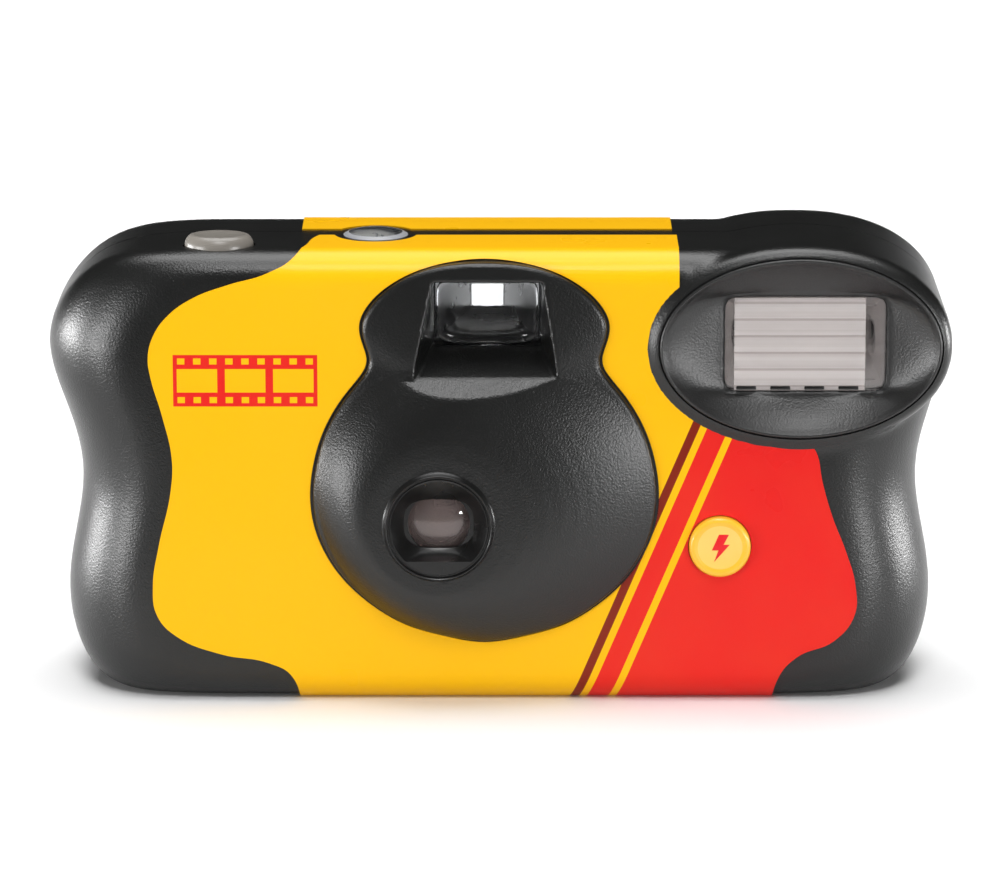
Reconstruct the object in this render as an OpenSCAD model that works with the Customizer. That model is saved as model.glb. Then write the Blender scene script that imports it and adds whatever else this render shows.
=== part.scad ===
// Single-use film camera with a built-in flash, in millimetres.
// X runs to the right as seen from the front, -Y faces the subject and Z is up.
// The base stands on z = 0. The film crosses the camera near the back.

/* [Body] */
// width across the upper grips
body_w = 118; // [117:0.5:126]
// height of the flat top
body_h = 59.5; // [59.5:0.5:64]
// front panel to back panel
body_t = 31; // [30.8:0.2:34]
// wall of both covers
wall = 1.4; // [1.2:0.1:1.5]
// how far each grip draws in at the waist
waist = 2.6; // [0:0.2:2.8]
// inset of the front face at each side
side_round = 12.5; // [10:0.5:14]
// radius of the top front edge
top_round = 4; // [3:0.5:5]
// radius of the bottom front edge
base_round = 4; // [3:0.5:5]
// radius of the top back edge
back_round = 8; // [6:0.5:9]
// front panel to the seam between the covers
seam_in = 15.3; // [14.8:0.1:17]
// thickness of the two labels
label_t = 0.2; // [0.1:0.05:0.3]

/* [Lens surround] */
// lens axis, across
lens_x = -7.8; // [-9:0.1:-7]
// lens axis, above the base
lens_z = 24.7; // [24.3:0.1:25.6]
// front of the lens ring ahead of the panel
nose_out = 5.5; // [5:0.25:7]
// radius of the sharp lens ring
ring_r = 6.9; // [6.2:0.1:7.5]
// half width of the domed surround
dome_a = 22.7; // [21:0.1:24]
// half height of the domed surround
dome_b = 21; // [20:0.1:21.6]
// centre of the dome, across
dome_x = -2; // [-3:0.1:-1]
// height of the dome's edge above the panel
dome_edge = 0.9; // [0.5:0.1:1.5]

/* [Finder] */
// width of the finder front lens
finder_w = 13.4; // [11:0.2:14.4]
// height of the finder front lens
finder_h = 8.2; // [7:0.2:8.6]
// width of the eyepiece
eyepiece_w = 7.4; // [6:0.2:8.4]
// height of the eyepiece
eyepiece_h = 5.6; // [4.4:0.2:6.4]

/* [Flash] */
// centre of the flash, across
flash_x = 38.8; // [38:0.1:39.4]
// centre of the flash, above the base
flash_z = 47.3; // [46.5:0.1:48]
// half width of the flash bezel
bezel_a = 19.6; // [18:0.1:20]
// half height of the flash bezel
bezel_b = 13.2; // [12.4:0.1:13.6]
// width of the flash window
window_w = 20.8; // [18:0.2:22]
// height of the flash window
window_h = 12.4; // [10:0.2:13]
// radius of the flash charge button
charge_r = 4; // [3.2:0.1:4.6]
// travel of the flash charge button
charge_travel = 0.8; // [0.4:0.1:1]

/* [Shutter] */
// length of the shutter button along the camera
button_w = 8.8; // [7.6:0.2:10]
// depth of the shutter button
button_d = 7.6; // [6.4:0.2:8]
// how far the shutter button stands proud
button_out = 1.4; // [1:0.1:2]
// travel of the shutter button
button_travel = 1.2; // [0.8:0.1:1.2]

/* [Film] */
// width of one picture
frame_w = 36; // [34:0.5:36]
// height of one picture
frame_h = 24; // [22:0.5:24]
// width of the film
film_w = 35; // [34.9:0.05:35.1]
// diameter of the film cartridge
cart_d = 25; // [24:0.1:25.2]
// length of the cartridge with its caps
cart_h = 43.8; // [43:0.1:44]
// lens to film
focal = 30; // [29.6:0.1:30.4]
// radius of the film wound on the supply spool
roll_r = 8.8; // [6:0.1:8.8]

/* [Winding] */
// radius of the thumbwheel
wheel_r = 14.9; // [14.4:0.1:15]
// thickness of the thumbwheel
wheel_t = 3.8; // [3:0.1:3.8]
// notches round the thumbwheel
wheel_notches = 60; // [40:2:80]
// radius of the exposure counter wheel
counter_r = 6; // [5:0.1:6]
// radius of the counter window
counter_win_r = 4.2; // [3.6:0.1:4.4]

/* [Electrics] */
// diameter of the battery
battery_d = 14.5; // [13.5:0.1:14.5]
// length of the battery with its stud
battery_l = 50.5; // [49:0.1:50.5]
// diameter of the storage capacitor
cap_d = 12.4; // [10:0.1:12.6]
// length of the storage capacitor
cap_l = 23.6; // [18:0.2:24]

/* [Hidden] */
$fn = 48;

// fits
shaft_fit = 0.05;

// depths, from the film forward
film_y = 14.6;
film_t = 0.14;
film_back = 2;
gate_y = film_y - film_t / 2;
back_y = film_y + film_back + wall;
panel_y = back_y - body_t;
inner_y = panel_y + wall;
seam_y = panel_y + seam_in;
nose_y = panel_y - nose_out;
lens_y = film_y - focal;
half_w = body_w / 2;
top_in = body_h - wall;

// body surfaces
side_depth = 13;
back_side_depth = 10;
back_inset = 11;
back_base_round = 4;
hump_corner = 1;

// film path
cart_r = cart_d / 2;
cart_gap = 0.5;
cart_back_gap = 0.4;
cart_x = lens_x - frame_w / 2 - cart_gap - cart_r;
cart_y = back_y - wall - cart_back_gap - cart_r;
cart_z = lens_z - cart_h / 2;
cart_top = cart_z + cart_h;
chamber_r = cart_r + 0.25;
chamber_w = 0.8;
deck_z = cart_top + 0.5;
deck_t = 1.4;
hub_r = 4.7;
hub_out = 3.4;
boss_r = 6.3;
supply_in = 10.2;
supply_w = 0.9;
supply_x = lens_x + frame_w / 2 + 1.4 + supply_in;
supply_y = film_y - 9.2;
supply_top = lens_z + film_w / 2 + 1.2;
wheel_z = deck_z + deck_t + 0.6;
sprocket_r = 6.05;
sprocket_teeth = 8;
sprocket_x = lens_x - 11.5;
sprocket_y = film_y - sprocket_r;
perf_z = lens_z + film_w / 2 - 2.8;
shaft_r = 1.5;
perf_pitch = 4.75;

// shutter
plat_y = panel_y + 3;
plat_t = 1.4;
blade_x = lens_x + 7.5;
blade_z = lens_z + 6.6;
blade_t = 0.4;
pin_r = 1;
striker_x = lens_x - 5;
striker_z = lens_z + 16.5;
striker_t = 0.6;
aperture_r = 2;
barrel_r = 5.4;
glass_r = 4.25;
button_x = -36.2;
button_y = panel_y + top_round + button_d / 2 - 0.4;
lever_z = wheel_z + wheel_t + button_travel + 0.9;
lever_t = 1;
lever_x = button_x + 9.5;

// finder and counter
finder_x = -1.55;
finder_z = body_h - 8;
finder_y = panel_y + 4;
eyepiece_z = body_h - 9.6;
counter_x = sprocket_x + 1.5;
counter_y = sprocket_y - counter_r - 6;
counter_z = top_in - 3;
counter_win_x = -16.1;
counter_win_y = seam_y - 2.3;

// flash and electrics
bezel_y = panel_y - 1;
window_y = panel_y + 1.6;
charge_x = 28.6;
charge_z = 21;
board_y = inner_y + 1.8 + charge_travel;
board_t = 1.2;
battery_r = battery_d / 2;
battery_x = 45.2;
battery_y = film_y - 7;
battery_z = 4.2;
cap_x = 13.6;
cap_y = 8;
cap_z = supply_top + 1.2 + cap_d / 2;
lamp_x = 10.4;
lamp_z = body_h - back_round - 3;

// one span of a uniform cubic curve
function span(a, b, c, d, t) =
  ((1 - t) ^ 3 * a + (3 * t ^ 3 - 6 * t ^ 2 + 4) * b + (-3 * t ^ 3 + 3 * t ^ 2 + 3 * t + 1) * c + t ^ 3 * d) / 6;

// closed smooth curve drawn by a cage of points, k steps to a span
function closed_curve(cage, k) = [for (i = [0:len(cage) - 1]) for (s = [0:k - 1])
  let(n = len(cage)) span(cage[(i + n - 1) % n], cage[i], cage[(i + 1) % n], cage[(i + 2) % n], s / k)];

// half of the body cage from the bottom up: x, z and the depth over which the edge rounds
// c draws the upper corner in, under the flash hump
function body_half(w, h, dt, ds, db, c) = [[w * 0.22, 0, db], [w * 0.5, 0, db], [w - 13, 0, db],
  [w - 2.6, 0, (db + ds) / 2], [w - 1.6, 7.5, ds], [w - 1.6, 15.5, ds], [w - 2 - waist, h - 33, ds],
  [w - 1.6, h - 22.5, ds], [w + 1.2 - c, h - 13.5, ds], [w - 4.5 - 2 * c, h - 2.5 - c, (dt + ds) / 2],
  [w - 11.5 - 2 * c, h, dt], [w - 24, h, dt], [w * 0.3, h, dt]];

function body_curve(w, h, dt, ds, db, k) =
  let(left = body_half(w, h, dt, ds, db, 0), right = body_half(w, h, dt, ds, db, hump_corner))
  closed_curve(concat([for (p = left) [-p[0], p[1], p[2]]],
    [for (i = [len(right) - 1:-1:0]) right[i]]), k);

// place of an outline point on the flat face
function face_point(p, w, h, inset, zt, zb) = [p[0] * (1 - inset / w), zb + p[1] * (h - zt - zb) / h];

// rings of a cover from its open edge to its face
function cover_rings(w, h, z0, dt, ds, db, inset, zt, zb, y_open, y_face, m) =
  let(o = body_curve(w, h, dt, ds, db, 3), s = y_face < y_open ? 1 : -1)
  concat([[for (p = o) [p[0], y_open, z0 + p[1]]]],
    [for (k = [0:m]) [for (p = o) let(f = face_point(p, w, h, inset, zt, zb), c = cos(90 * k / m))
      [f[0] + (p[0] - f[0]) * c, y_face + s * p[2] * (1 - sin(90 * k / m)), z0 + f[1] + (p[1] - f[1]) * c]]]);

function backward(rings) = [for (i = [len(rings) - 1:-1:0]) rings[i]];

// clockwise ellipse seen from the front
function oval(cx, cz, a, b, y, n) = [for (i = [0:n - 1]) let(t = -90 - 360 * i / n)
  [cx + a * cos(t), y, cz + b * sin(t)]];

// outline of the domed surround: a wide ellipse with the finder lobe on top
key_sx = dome_a / 22.7;
key_sz = dome_b / 21;
dome_z = 29;
key_half = [[12.3 * key_sx, dome_z - 19.4 * key_sz, 0], [21 * key_sx, dome_z - 12 * key_sz, 0],
  [23.6 * key_sx, dome_z, 0], [20.5 * key_sx, dome_z + 11 * key_sz, 0], [13.8, body_h - 14, 0],
  [17.3, body_h - 8.5, 0], [13.5, body_h - 1.7, 0]];
key_cage = concat([[dome_x, dome_z - 21.6 * key_sz, 0]], [for (p = key_half) [dome_x - p[0], p[1], 0]],
  [[dome_x, body_h - 1.1, 0]],
  [for (i = [len(key_half) - 1:-1:0]) [dome_x + key_half[i][0], key_half[i][1], 0]]);
key_curve = closed_curve(key_cage, 3);

// the surround's outline drawn in toward the lens axis
function dome_ring(s, r, y) = [for (p = key_curve)
  let(v = [p[0] - lens_x, p[1] - lens_z], c = [lens_x, lens_z] + r * v / norm(v), q = c + ([p[0], p[1]] - c) * s)
  [q[0], y, q[1]]];

// solid through rings that run from back to front
module loft(rings) {
  n = len(rings[0]);
  m = len(rings);
  mid = [for (r = [rings[0], rings[m - 1]]) [for (a = [0:2]) (min([for (p = r) p[a]]) + max([for (p = r) p[a]])) / 2]];
  polyhedron(concat([for (r = rings) each r], mid), concat(
    [for (k = [0:m - 2]) for (i = [0:n - 1]) let(j = (i + 1) % n) [k * n + i, k * n + j, (k + 1) * n + j]],
    [for (k = [0:m - 2]) for (i = [0:n - 1]) let(j = (i + 1) % n) [k * n + i, (k + 1) * n + j, (k + 1) * n + i]],
    [for (i = [0:n - 1]) [(i + 1) % n, i, m * n]],
    [for (i = [0:n - 1]) [(m - 1) * n + i, (m - 1) * n + (i + 1) % n, m * n + 1]]), convexity = 8);
}

module box(x0, x1, y0, y1, z0, z1) {
  translate([x0, y0, z0]) cube([x1 - x0, y1 - y0, z1 - z0]);
}

// flat shape in x and z given a depth
module plate(y0, y1) {
  translate([0, y1, 0]) rotate([90, 0, 0]) linear_extrude(y1 - y0) children();
}

// round bar along Y
module ybar(x, z, y0, y1, r) {
  translate([x, y1, z]) rotate([90, 0, 0]) cylinder(h = y1 - y0, r = r);
}

// round bar along X
module xbar(x0, x1, y, z, r) {
  translate([x0, y, z]) rotate([0, 90, 0]) cylinder(h = x1 - x0, r = r);
}

// upright round bar
module zbar(x, y, z0, z1, r) {
  translate([x, y, z0]) cylinder(h = z1 - z0, r = r);
}

module round_rect(x, z, w, h, r) {
  translate([x - w / 2 + r, z - h / 2 + r]) offset(r = r) square([w - 2 * r, h - 2 * r]);
}

// flare between two upright rectangles
module flare(x, z, w, h, y, x2, z2, w2, h2, y2) {
  hull() {
    translate([x - w / 2, y - 0.01, z - h / 2]) cube([w, 0.02, h]);
    translate([x2 - w2 / 2, y2 - 0.01, z2 - h2 / 2]) cube([w2, 0.02, h2]);
  }
}

module front_skin() {
  loft(cover_rings(half_w, body_h, 0, top_round, side_depth, base_round, side_round, top_round, base_round,
    seam_y, panel_y, 6));
}

module front_hollow() {
  loft(cover_rings(half_w - wall, body_h - 2 * wall, wall, top_round - wall, side_depth - wall, base_round - wall,
    side_round - wall / 2, top_round - wall, base_round - wall, seam_y + 1, inner_y, 4));
}

module hump_front(d, y0, y1) {
  loft([oval(flash_x, flash_z, bezel_a - d, bezel_b - d, y0, 40),
    oval(flash_x, flash_z, bezel_a - d, bezel_b - d, y1 + 1.6, 40),
    oval(flash_x, flash_z, bezel_a - d - 0.4, bezel_b - d - 0.4, y1 + 0.5, 40),
    oval(flash_x, flash_z, bezel_a - d - 1.1, bezel_b - d - 1.1, y1, 40)]);
}

module dome_skin() {
  loft(concat([dome_ring(1, 9.2, inner_y), dome_ring(1, 9.2, panel_y - dome_edge + 0.3),
    dome_ring(0.985, 9.2, panel_y - dome_edge)],
    [for (t = [18:18:90]) dome_ring(0.985 * cos(t), 9.2, panel_y - dome_edge - (nose_out - 2.1) * sin(t))],
    [dome_ring(0, 8, nose_y + 0.6), dome_ring(0, 7.3, nose_y + 0.1), dome_ring(0, ring_r, nose_y)]));
}

module dome_hollow() {
  loft(concat([dome_ring(0.92, 8, inner_y + 0.6), dome_ring(0.92, 8, panel_y - dome_edge + wall)],
    [for (t = [22.5:22.5:90]) dome_ring(0.92 * cos(t), 8, panel_y - dome_edge + wall - (nose_out - 2.1) * sin(t))],
    [dome_ring(0, 6.4, lens_y - 0.4)]));
}

// tongue that reaches past the seam behind the wall of the other cover
module snap_tongue(x, z, s) {
  hull() {
    translate([x - 2.5, seam_y - 6, z + s * 0.2 - (s > 0 ? 1.1 : 0)]) cube([5, 1, 1.1]);
    translate([x - 2, seam_y + 3, z - s * 0.5 - (s > 0 ? 0.6 : 0)]) cube([4, 1, 0.6]);
  }
}

module front_cover() {
  color([0.07, 0.07, 0.075]) difference() {
    union() {
      difference() {
        union() {
          front_skin();
          hump_front(0, seam_y, bezel_y);
          dome_skin();
        }
        front_hollow();
        hump_front(wall, seam_y + 1, panel_y + 2.8);
        dome_hollow();
      }
      // walls of the flash dish and the finder recess
      hump_front(0.3, panel_y + 3, panel_y + 0.2);
      box(finder_x - 10.6, finder_x + 10.6, panel_y + 0.2, finder_y, finder_z - 7, finder_z + 5.6);
      // posts on which the platform and the board sit
      ybar(lens_x - 15.5, lens_z - 12.5, inner_y - 0.5, plat_y, 1.6);
      ybar(lens_x + 15, lens_z - 12, panel_y - 2.2, plat_y, 1.6);
      ybar(lens_x - 16, lens_z + 14, inner_y - 0.5, plat_y, 1.6);
      for (p = [[16, 8], [40, 8], [40, 30]]) ybar(p[0], p[1], inner_y - 0.5, board_y, 1.5);
      ybar(16, 30, panel_y - 1.9, board_y, 1.5);
      // lugs of the release lever
      for (y = [button_y - 4.2, button_y + 2.6])
        box(lever_x - 1.5, lever_x + 1.5, y, y + 1.6, lever_z - 1, top_in + 0.3);
      for (x = [-26, 10.6]) snap_tongue(x, top_in, 1);
      for (x = [-22, -2, 8]) snap_tongue(x, wall, -1);
    }
    // finder recess and the ledge below it
    flare(finder_x, finder_z, finder_w, finder_h, finder_y + 0.01, finder_x - 0.3, finder_z - 1.6,
      finder_w + 6.4, finder_h + 5, panel_y - 4);
    hull() {
      translate([finder_x - 14, panel_y - 2.6, finder_z - 6.2]) cube([28, 0.02, 0.02]);
      translate([finder_x - 14, panel_y - 9, finder_z - 12.4]) cube([28, 0.02, 12]);
    }
    // cone and opening in front of the lens
    translate([lens_x, nose_y - 0.01, lens_z]) rotate([-90, 0, 0])
      cylinder(h = lens_y - nose_y - 0.9, r1 = ring_r - 0.15, r2 = ring_r - 1.5);
    hull() for (x = [-2, 2]) for (z = [-1.2, 1.2])
      ybar(lens_x + x, lens_z + z, nose_y + 1, lens_y, 1.9);
    // flash dish and window
    hull() {
      translate([flash_x, bezel_y - 0.05, flash_z]) rotate([-90, 0, 0]) scale([1, (bezel_b - 1.7) / (bezel_a - 1.7), 1])
        cylinder(h = 0.1, r = bezel_a - 1.7);
      plate(window_y - 0.1, window_y) round_rect(flash_x + 0.7, flash_z, window_w + 1, window_h + 1, 2.5);
    }
    plate(panel_y, panel_y + 5) round_rect(flash_x + 0.7, flash_z, window_w, window_h, 2);
    // holes for the buttons and the counter window
    ybar(charge_x, charge_z, panel_y - 1, inner_y + 1, charge_r + 0.15);
    translate([button_x, button_y, body_h - 3]) scale([1, button_d / button_w, 1])
      cylinder(h = 8, r = button_w / 2 + 0.25);
    zbar(counter_win_x, counter_win_y, body_h - 4, body_h + 1, counter_win_r + 0.1);
    ybar(lever_x, lever_z + lever_t / 2, button_y - 5, button_y + 5, 0.6 + shaft_fit);
  }
}

module rear_skin() {
  loft(backward(cover_rings(half_w, body_h, 0, back_round, back_side_depth, back_base_round, back_inset, back_round,
    back_base_round, seam_y, back_y, 6)));
}

module rear_hollow() {
  loft(backward(cover_rings(half_w - wall, body_h - 2 * wall, wall, back_round - wall, back_side_depth - wall,
    back_base_round - wall, back_inset - wall / 2, back_round - wall, back_base_round - wall, seam_y - 1,
    back_y - wall, 5)));
}

module hump_rear(d, y0, y1) {
  loft([for (t = [90, 72, 54, 36, 18, 0]) oval(flash_x, flash_z, bezel_a - d - 9 * (1 - cos(t)),
    bezel_b - d - 8 * (1 - cos(t)), y1 - 9 * (1 - sin(t)), 40), oval(flash_x, flash_z, bezel_a - d, bezel_b - d, y0, 40)]);
}

// rib that presses the frame forward, chamfered at its tip
module back_rib(x0, x1, z) {
  hull() {
    box(x0, x1, back_y - wall - 0.02, back_y - wall + 0.4, z - 0.9, z + 0.9);
    box(x0 + 0.4, x1 - 0.4, gate_y, film_y + 0.6, z - 0.5, z + 0.5);
  }
}

module rear_cover() {
  color([0.08, 0.08, 0.085]) difference() {
    union() {
      difference() {
        union() {
          rear_skin();
          hump_rear(0, seam_y, back_y - 0.4);
        }
        rear_hollow();
        hump_rear(wall, seam_y - 1, back_y - 0.4 - wall);
      }
      // ribs against the frame, above and below the film
      for (x = [-20, -10, 1]) back_rib(x, x + 8, lens_z - film_w / 2 - 1.3);
      for (x = [-13, -4, 4]) back_rib(x, x + 6, lens_z + film_w / 2 + 1.3);
      // frame of the eyepiece
      box(finder_x - eyepiece_w / 2 - 1.4, finder_x + eyepiece_w / 2 + 1.4, film_y + 0.7, back_y - wall + 0.4,
        eyepiece_z - eyepiece_h / 2 - 1.4, eyepiece_z + eyepiece_h / 2 + 1.4);
    }
    // slot for the thumbwheel with softened lips
    box(cart_x - 10.4, cart_x + 10.4, cart_y + 6, back_y + 1, wheel_z - 0.5, wheel_z + wheel_t + 0.5);
    hull() {
      box(cart_x - 10, cart_x + 10, back_y - 2.4, back_y - 2.3, wheel_z - 0.2, wheel_z + wheel_t + 0.2);
      box(cart_x - 12, cart_x + 12, back_y + 0.6, back_y + 0.7, wheel_z - 2, wheel_z + wheel_t + 2.6);
    }
    // eyepiece recess and bore, ready lamp, counter window
    flare(finder_x, eyepiece_z, eyepiece_w - 1.2, eyepiece_h - 0.8, film_y + 2, finder_x, eyepiece_z, eyepiece_w + 4.6,
      eyepiece_h + 3.4, back_y + 0.5);
    plate(film_y, film_y + 2.4) round_rect(finder_x, eyepiece_z, eyepiece_w + 0.1, eyepiece_h + 0.1, 0.6);
    ybar(lamp_x, lamp_z, film_y, back_y + 1, 2.3);
    zbar(counter_win_x, counter_win_y, body_h - 4, body_h + 1, counter_win_r + 0.1);
  }
}

label_x0 = -25.8;
label_x1 = 22.6;
label_foot = 36.2;

// flat part of the front label
module label_flat() {
  difference() {
    union() {
      intersection() {
        offset(delta = -1.2) polygon([for (p = body_curve(half_w, body_h, top_round, side_depth, base_round, 6))
          face_point(p, half_w, body_h, side_round, top_round, base_round)]);
        union() {
          translate([-half_w, 0]) square([half_w + label_x1, body_h]);
          translate([-half_w, 0]) square([body_w, flash_z - 10]);
        }
      }
      translate([label_x0, body_h - 15]) square([label_x1 - label_x0, 15 - top_round]);
      translate([label_x0, base_round]) square([label_foot - label_x0, 6]);
    }
    label_gaps();
  }
}

// what the label leaves free
module label_gaps() {
  offset(delta = 0.35) polygon([for (p = key_curve) [p[0], p[1]]]);
  translate([flash_x, flash_z]) scale([1, (bezel_b + 0.5) / (bezel_a + 0.5)]) circle(r = bezel_a + 0.5, $fn = 72);
  translate([charge_x, charge_z]) circle(r = charge_r + 0.7);
}

// quarter of a tube along X, bent round a front or back edge
module bend(x0, x1, y, z, r, sy, sz) {
  intersection() {
    difference() {
      xbar(x0, x1, y, z, r + label_t);
      xbar(x0 - 1, x1 + 1, y, z, r);
    }
    translate([x0, sy > 0 ? y : y - r - 1, sz > 0 ? z : z - r + 0.3]) cube([x1 - x0, r + 1, sz > 0 ? r + 1 : r - 0.3]);
  }
}

module front_label() {
  color([0.98, 0.76, 0.05]) {
    plate(panel_y - label_t, panel_y) label_flat();
    difference() {
      union() {
        bend(label_x0, label_x1, panel_y + top_round, body_h - top_round, top_round, -1, 1);
        box(label_x0, label_x1, panel_y + top_round, seam_y - 0.3, body_h, body_h + label_t);
      }
      plate(panel_y - 2, seam_y - 8) offset(delta = 0.35) polygon([for (p = key_curve) [p[0], p[1]]]);
      zbar(counter_win_x, counter_win_y, body_h - 1, body_h + 1, counter_win_r + 0.9);
    }
    bend(label_x0, label_foot, panel_y + base_round, base_round, base_round, -1, -1);
  }
}

module rear_label() {
  color([0.98, 0.76, 0.05]) difference() {
    union() {
      box(label_x0, label_x1, seam_y + 0.3, back_y - back_round, body_h, body_h + label_t);
      bend(label_x0, label_x1, back_y - back_round, body_h - back_round, back_round, 1, 1);
      box(label_x0, label_x1, back_y, back_y + label_t, 9, body_h - back_round);
    }
    plate(back_y - 6, back_y + 1) round_rect(finder_x, eyepiece_z, eyepiece_w + 6, eyepiece_h + 6, 2);
    ybar(lamp_x, lamp_z, film_y, back_y + 1, 3.4);
    zbar(counter_win_x, counter_win_y, body_h - 1, body_h + 1, counter_win_r + 0.9);
  }
}

module shutter_button() {
  a = button_w / 2;
  b = button_d / 2;
  color([0.42, 0.42, 0.42]) translate([button_x, button_y, 0]) {
    // flange under the cover, wall and domed top
    rotate([-90, 0, 0]) loft([oval(0, 0, a + 0.8, b + 0.8, 1.3 - top_in, 36), oval(0, 0, a + 0.8, b + 0.8, 0.5 - top_in, 36),
      oval(0, 0, a, b, 0.5 - top_in, 36), oval(0, 0, a, b, 0.8 - body_h - button_out, 36),
      oval(0, 0, a - 0.5, b - 0.5, 0.3 - body_h - button_out, 36), oval(0, 0, a - 1.8, b - 1.8, -body_h - button_out, 36)]);
    translate([0, 0, lever_z + lever_t + 0.05]) cylinder(h = top_in - 1 - lever_z - lever_t, r = 1);
  }
}

module charge_button() {
  color([0.95, 0.68, 0.08]) {
    ybar(charge_x, charge_z, panel_y - 0.7, inner_y + 0.5, charge_r);
    translate([charge_x, panel_y - 0.7, charge_z]) rotate([90, 0, 0])
      cylinder(h = 0.5, r1 = charge_r, r2 = charge_r - 0.6);
    ybar(charge_x, charge_z, inner_y + 0.1, inner_y + 0.8, charge_r + 0.8);
  }
}

module counter_window() {
  color([0.8, 0.82, 0.82, 0.5]) translate([counter_win_x, counter_win_y, 0]) {
    translate([0, 0, top_in]) cylinder(h = wall + 0.1, r = counter_win_r);
    translate([0, 0, body_h + 0.1]) cylinder(h = 0.4, r1 = counter_win_r, r2 = counter_win_r - 1.3);
    translate([0, 0, top_in - 0.7]) cylinder(h = 0.7, r = counter_win_r + 0.9);
  }
}

module finder_front_lens() {
  color([0.85, 0.88, 0.9, 0.4]) difference() {
    box(finder_x - 8.4, finder_x + 8.4, finder_y, finder_y + 1.8, finder_z - 5, finder_z + 5);
    translate([finder_x, finder_y - 17.2, finder_z]) sphere(r = 18, $fn = 96);
  }
}

module finder_eyepiece() {
  color([0.85, 0.88, 0.9, 0.4]) {
    plate(film_y + 0.4, film_y + 2) round_rect(finder_x, eyepiece_z, eyepiece_w, eyepiece_h, 0.6);
    intersection() {
      translate([finder_x, film_y + 12, eyepiece_z]) sphere(r = 12, $fn = 96);
      plate(film_y - 1, film_y + 0.5) round_rect(finder_x, eyepiece_z, eyepiece_w, eyepiece_h, 0.6);
    }
  }
}

// tapered tube between the two finder lenses
module finder_tube() {
  color([0.1, 0.1, 0.1]) difference() {
    hull() {
      box(finder_x - 8.4, finder_x + 8.4, finder_y + 1.8, finder_y + 3, finder_z - 5, finder_z + 5);
      box(finder_x - 5.2, finder_x + 5.2, film_y - 1, film_y - 0.8, eyepiece_z - 4.3, eyepiece_z + 4.3);
    }
    flare(finder_x, finder_z, finder_w, finder_h, finder_y + 1.7, finder_x, eyepiece_z, eyepiece_w, eyepiece_h,
      film_y);
  }
}

module taking_lens() {
  color([0.75, 0.8, 0.85, 0.5]) difference() {
    intersection() {
      ybar(lens_x, lens_z, lens_y, lens_y + 2.4, glass_r);
      translate([lens_x, lens_y + 9, lens_z]) sphere(r = 9, $fn = 96);
    }
    translate([lens_x, lens_y + 12.6, lens_z]) sphere(r = 11, $fn = 96);
  }
}

module lens_holder() {
  color([0.12, 0.12, 0.12]) difference() {
    union() {
      box(lens_x - 7.5, lens_x + 10.5, plat_y - 1.9, plat_y - 0.9, lens_z - 8, lens_z + 8.4);
      ybar(lens_x, lens_z, lens_y + 0.4, plat_y - 0.9, barrel_r);
      for (x = [-6.2, 9.2]) ybar(lens_x + x, lens_z - 6.6, plat_y - 1.9, plat_y, 1);
      ybar(lens_x - 6.2, lens_z + 7, plat_y - 1.9, plat_y, 1);
    }
    ybar(lens_x, lens_z, lens_y - 1, lens_y + 2.4, glass_r + 0.02);
    ybar(lens_x, lens_z, lens_y + 2, plat_y, 3.2);
    ybar(blade_x, blade_z, plat_y - 3, plat_y, pin_r);
  }
}

module lens_retainer() {
  color([0.1, 0.1, 0.1]) difference() {
    ybar(lens_x, lens_z, lens_y - 0.35, lens_y + 0.4, barrel_r);
    ybar(lens_x, lens_z, lens_y - 1, lens_y + 1, glass_r - 0.25);
    translate([lens_x, lens_y + 9, lens_z]) sphere(r = 9.02, $fn = 96);
  }
}

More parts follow.
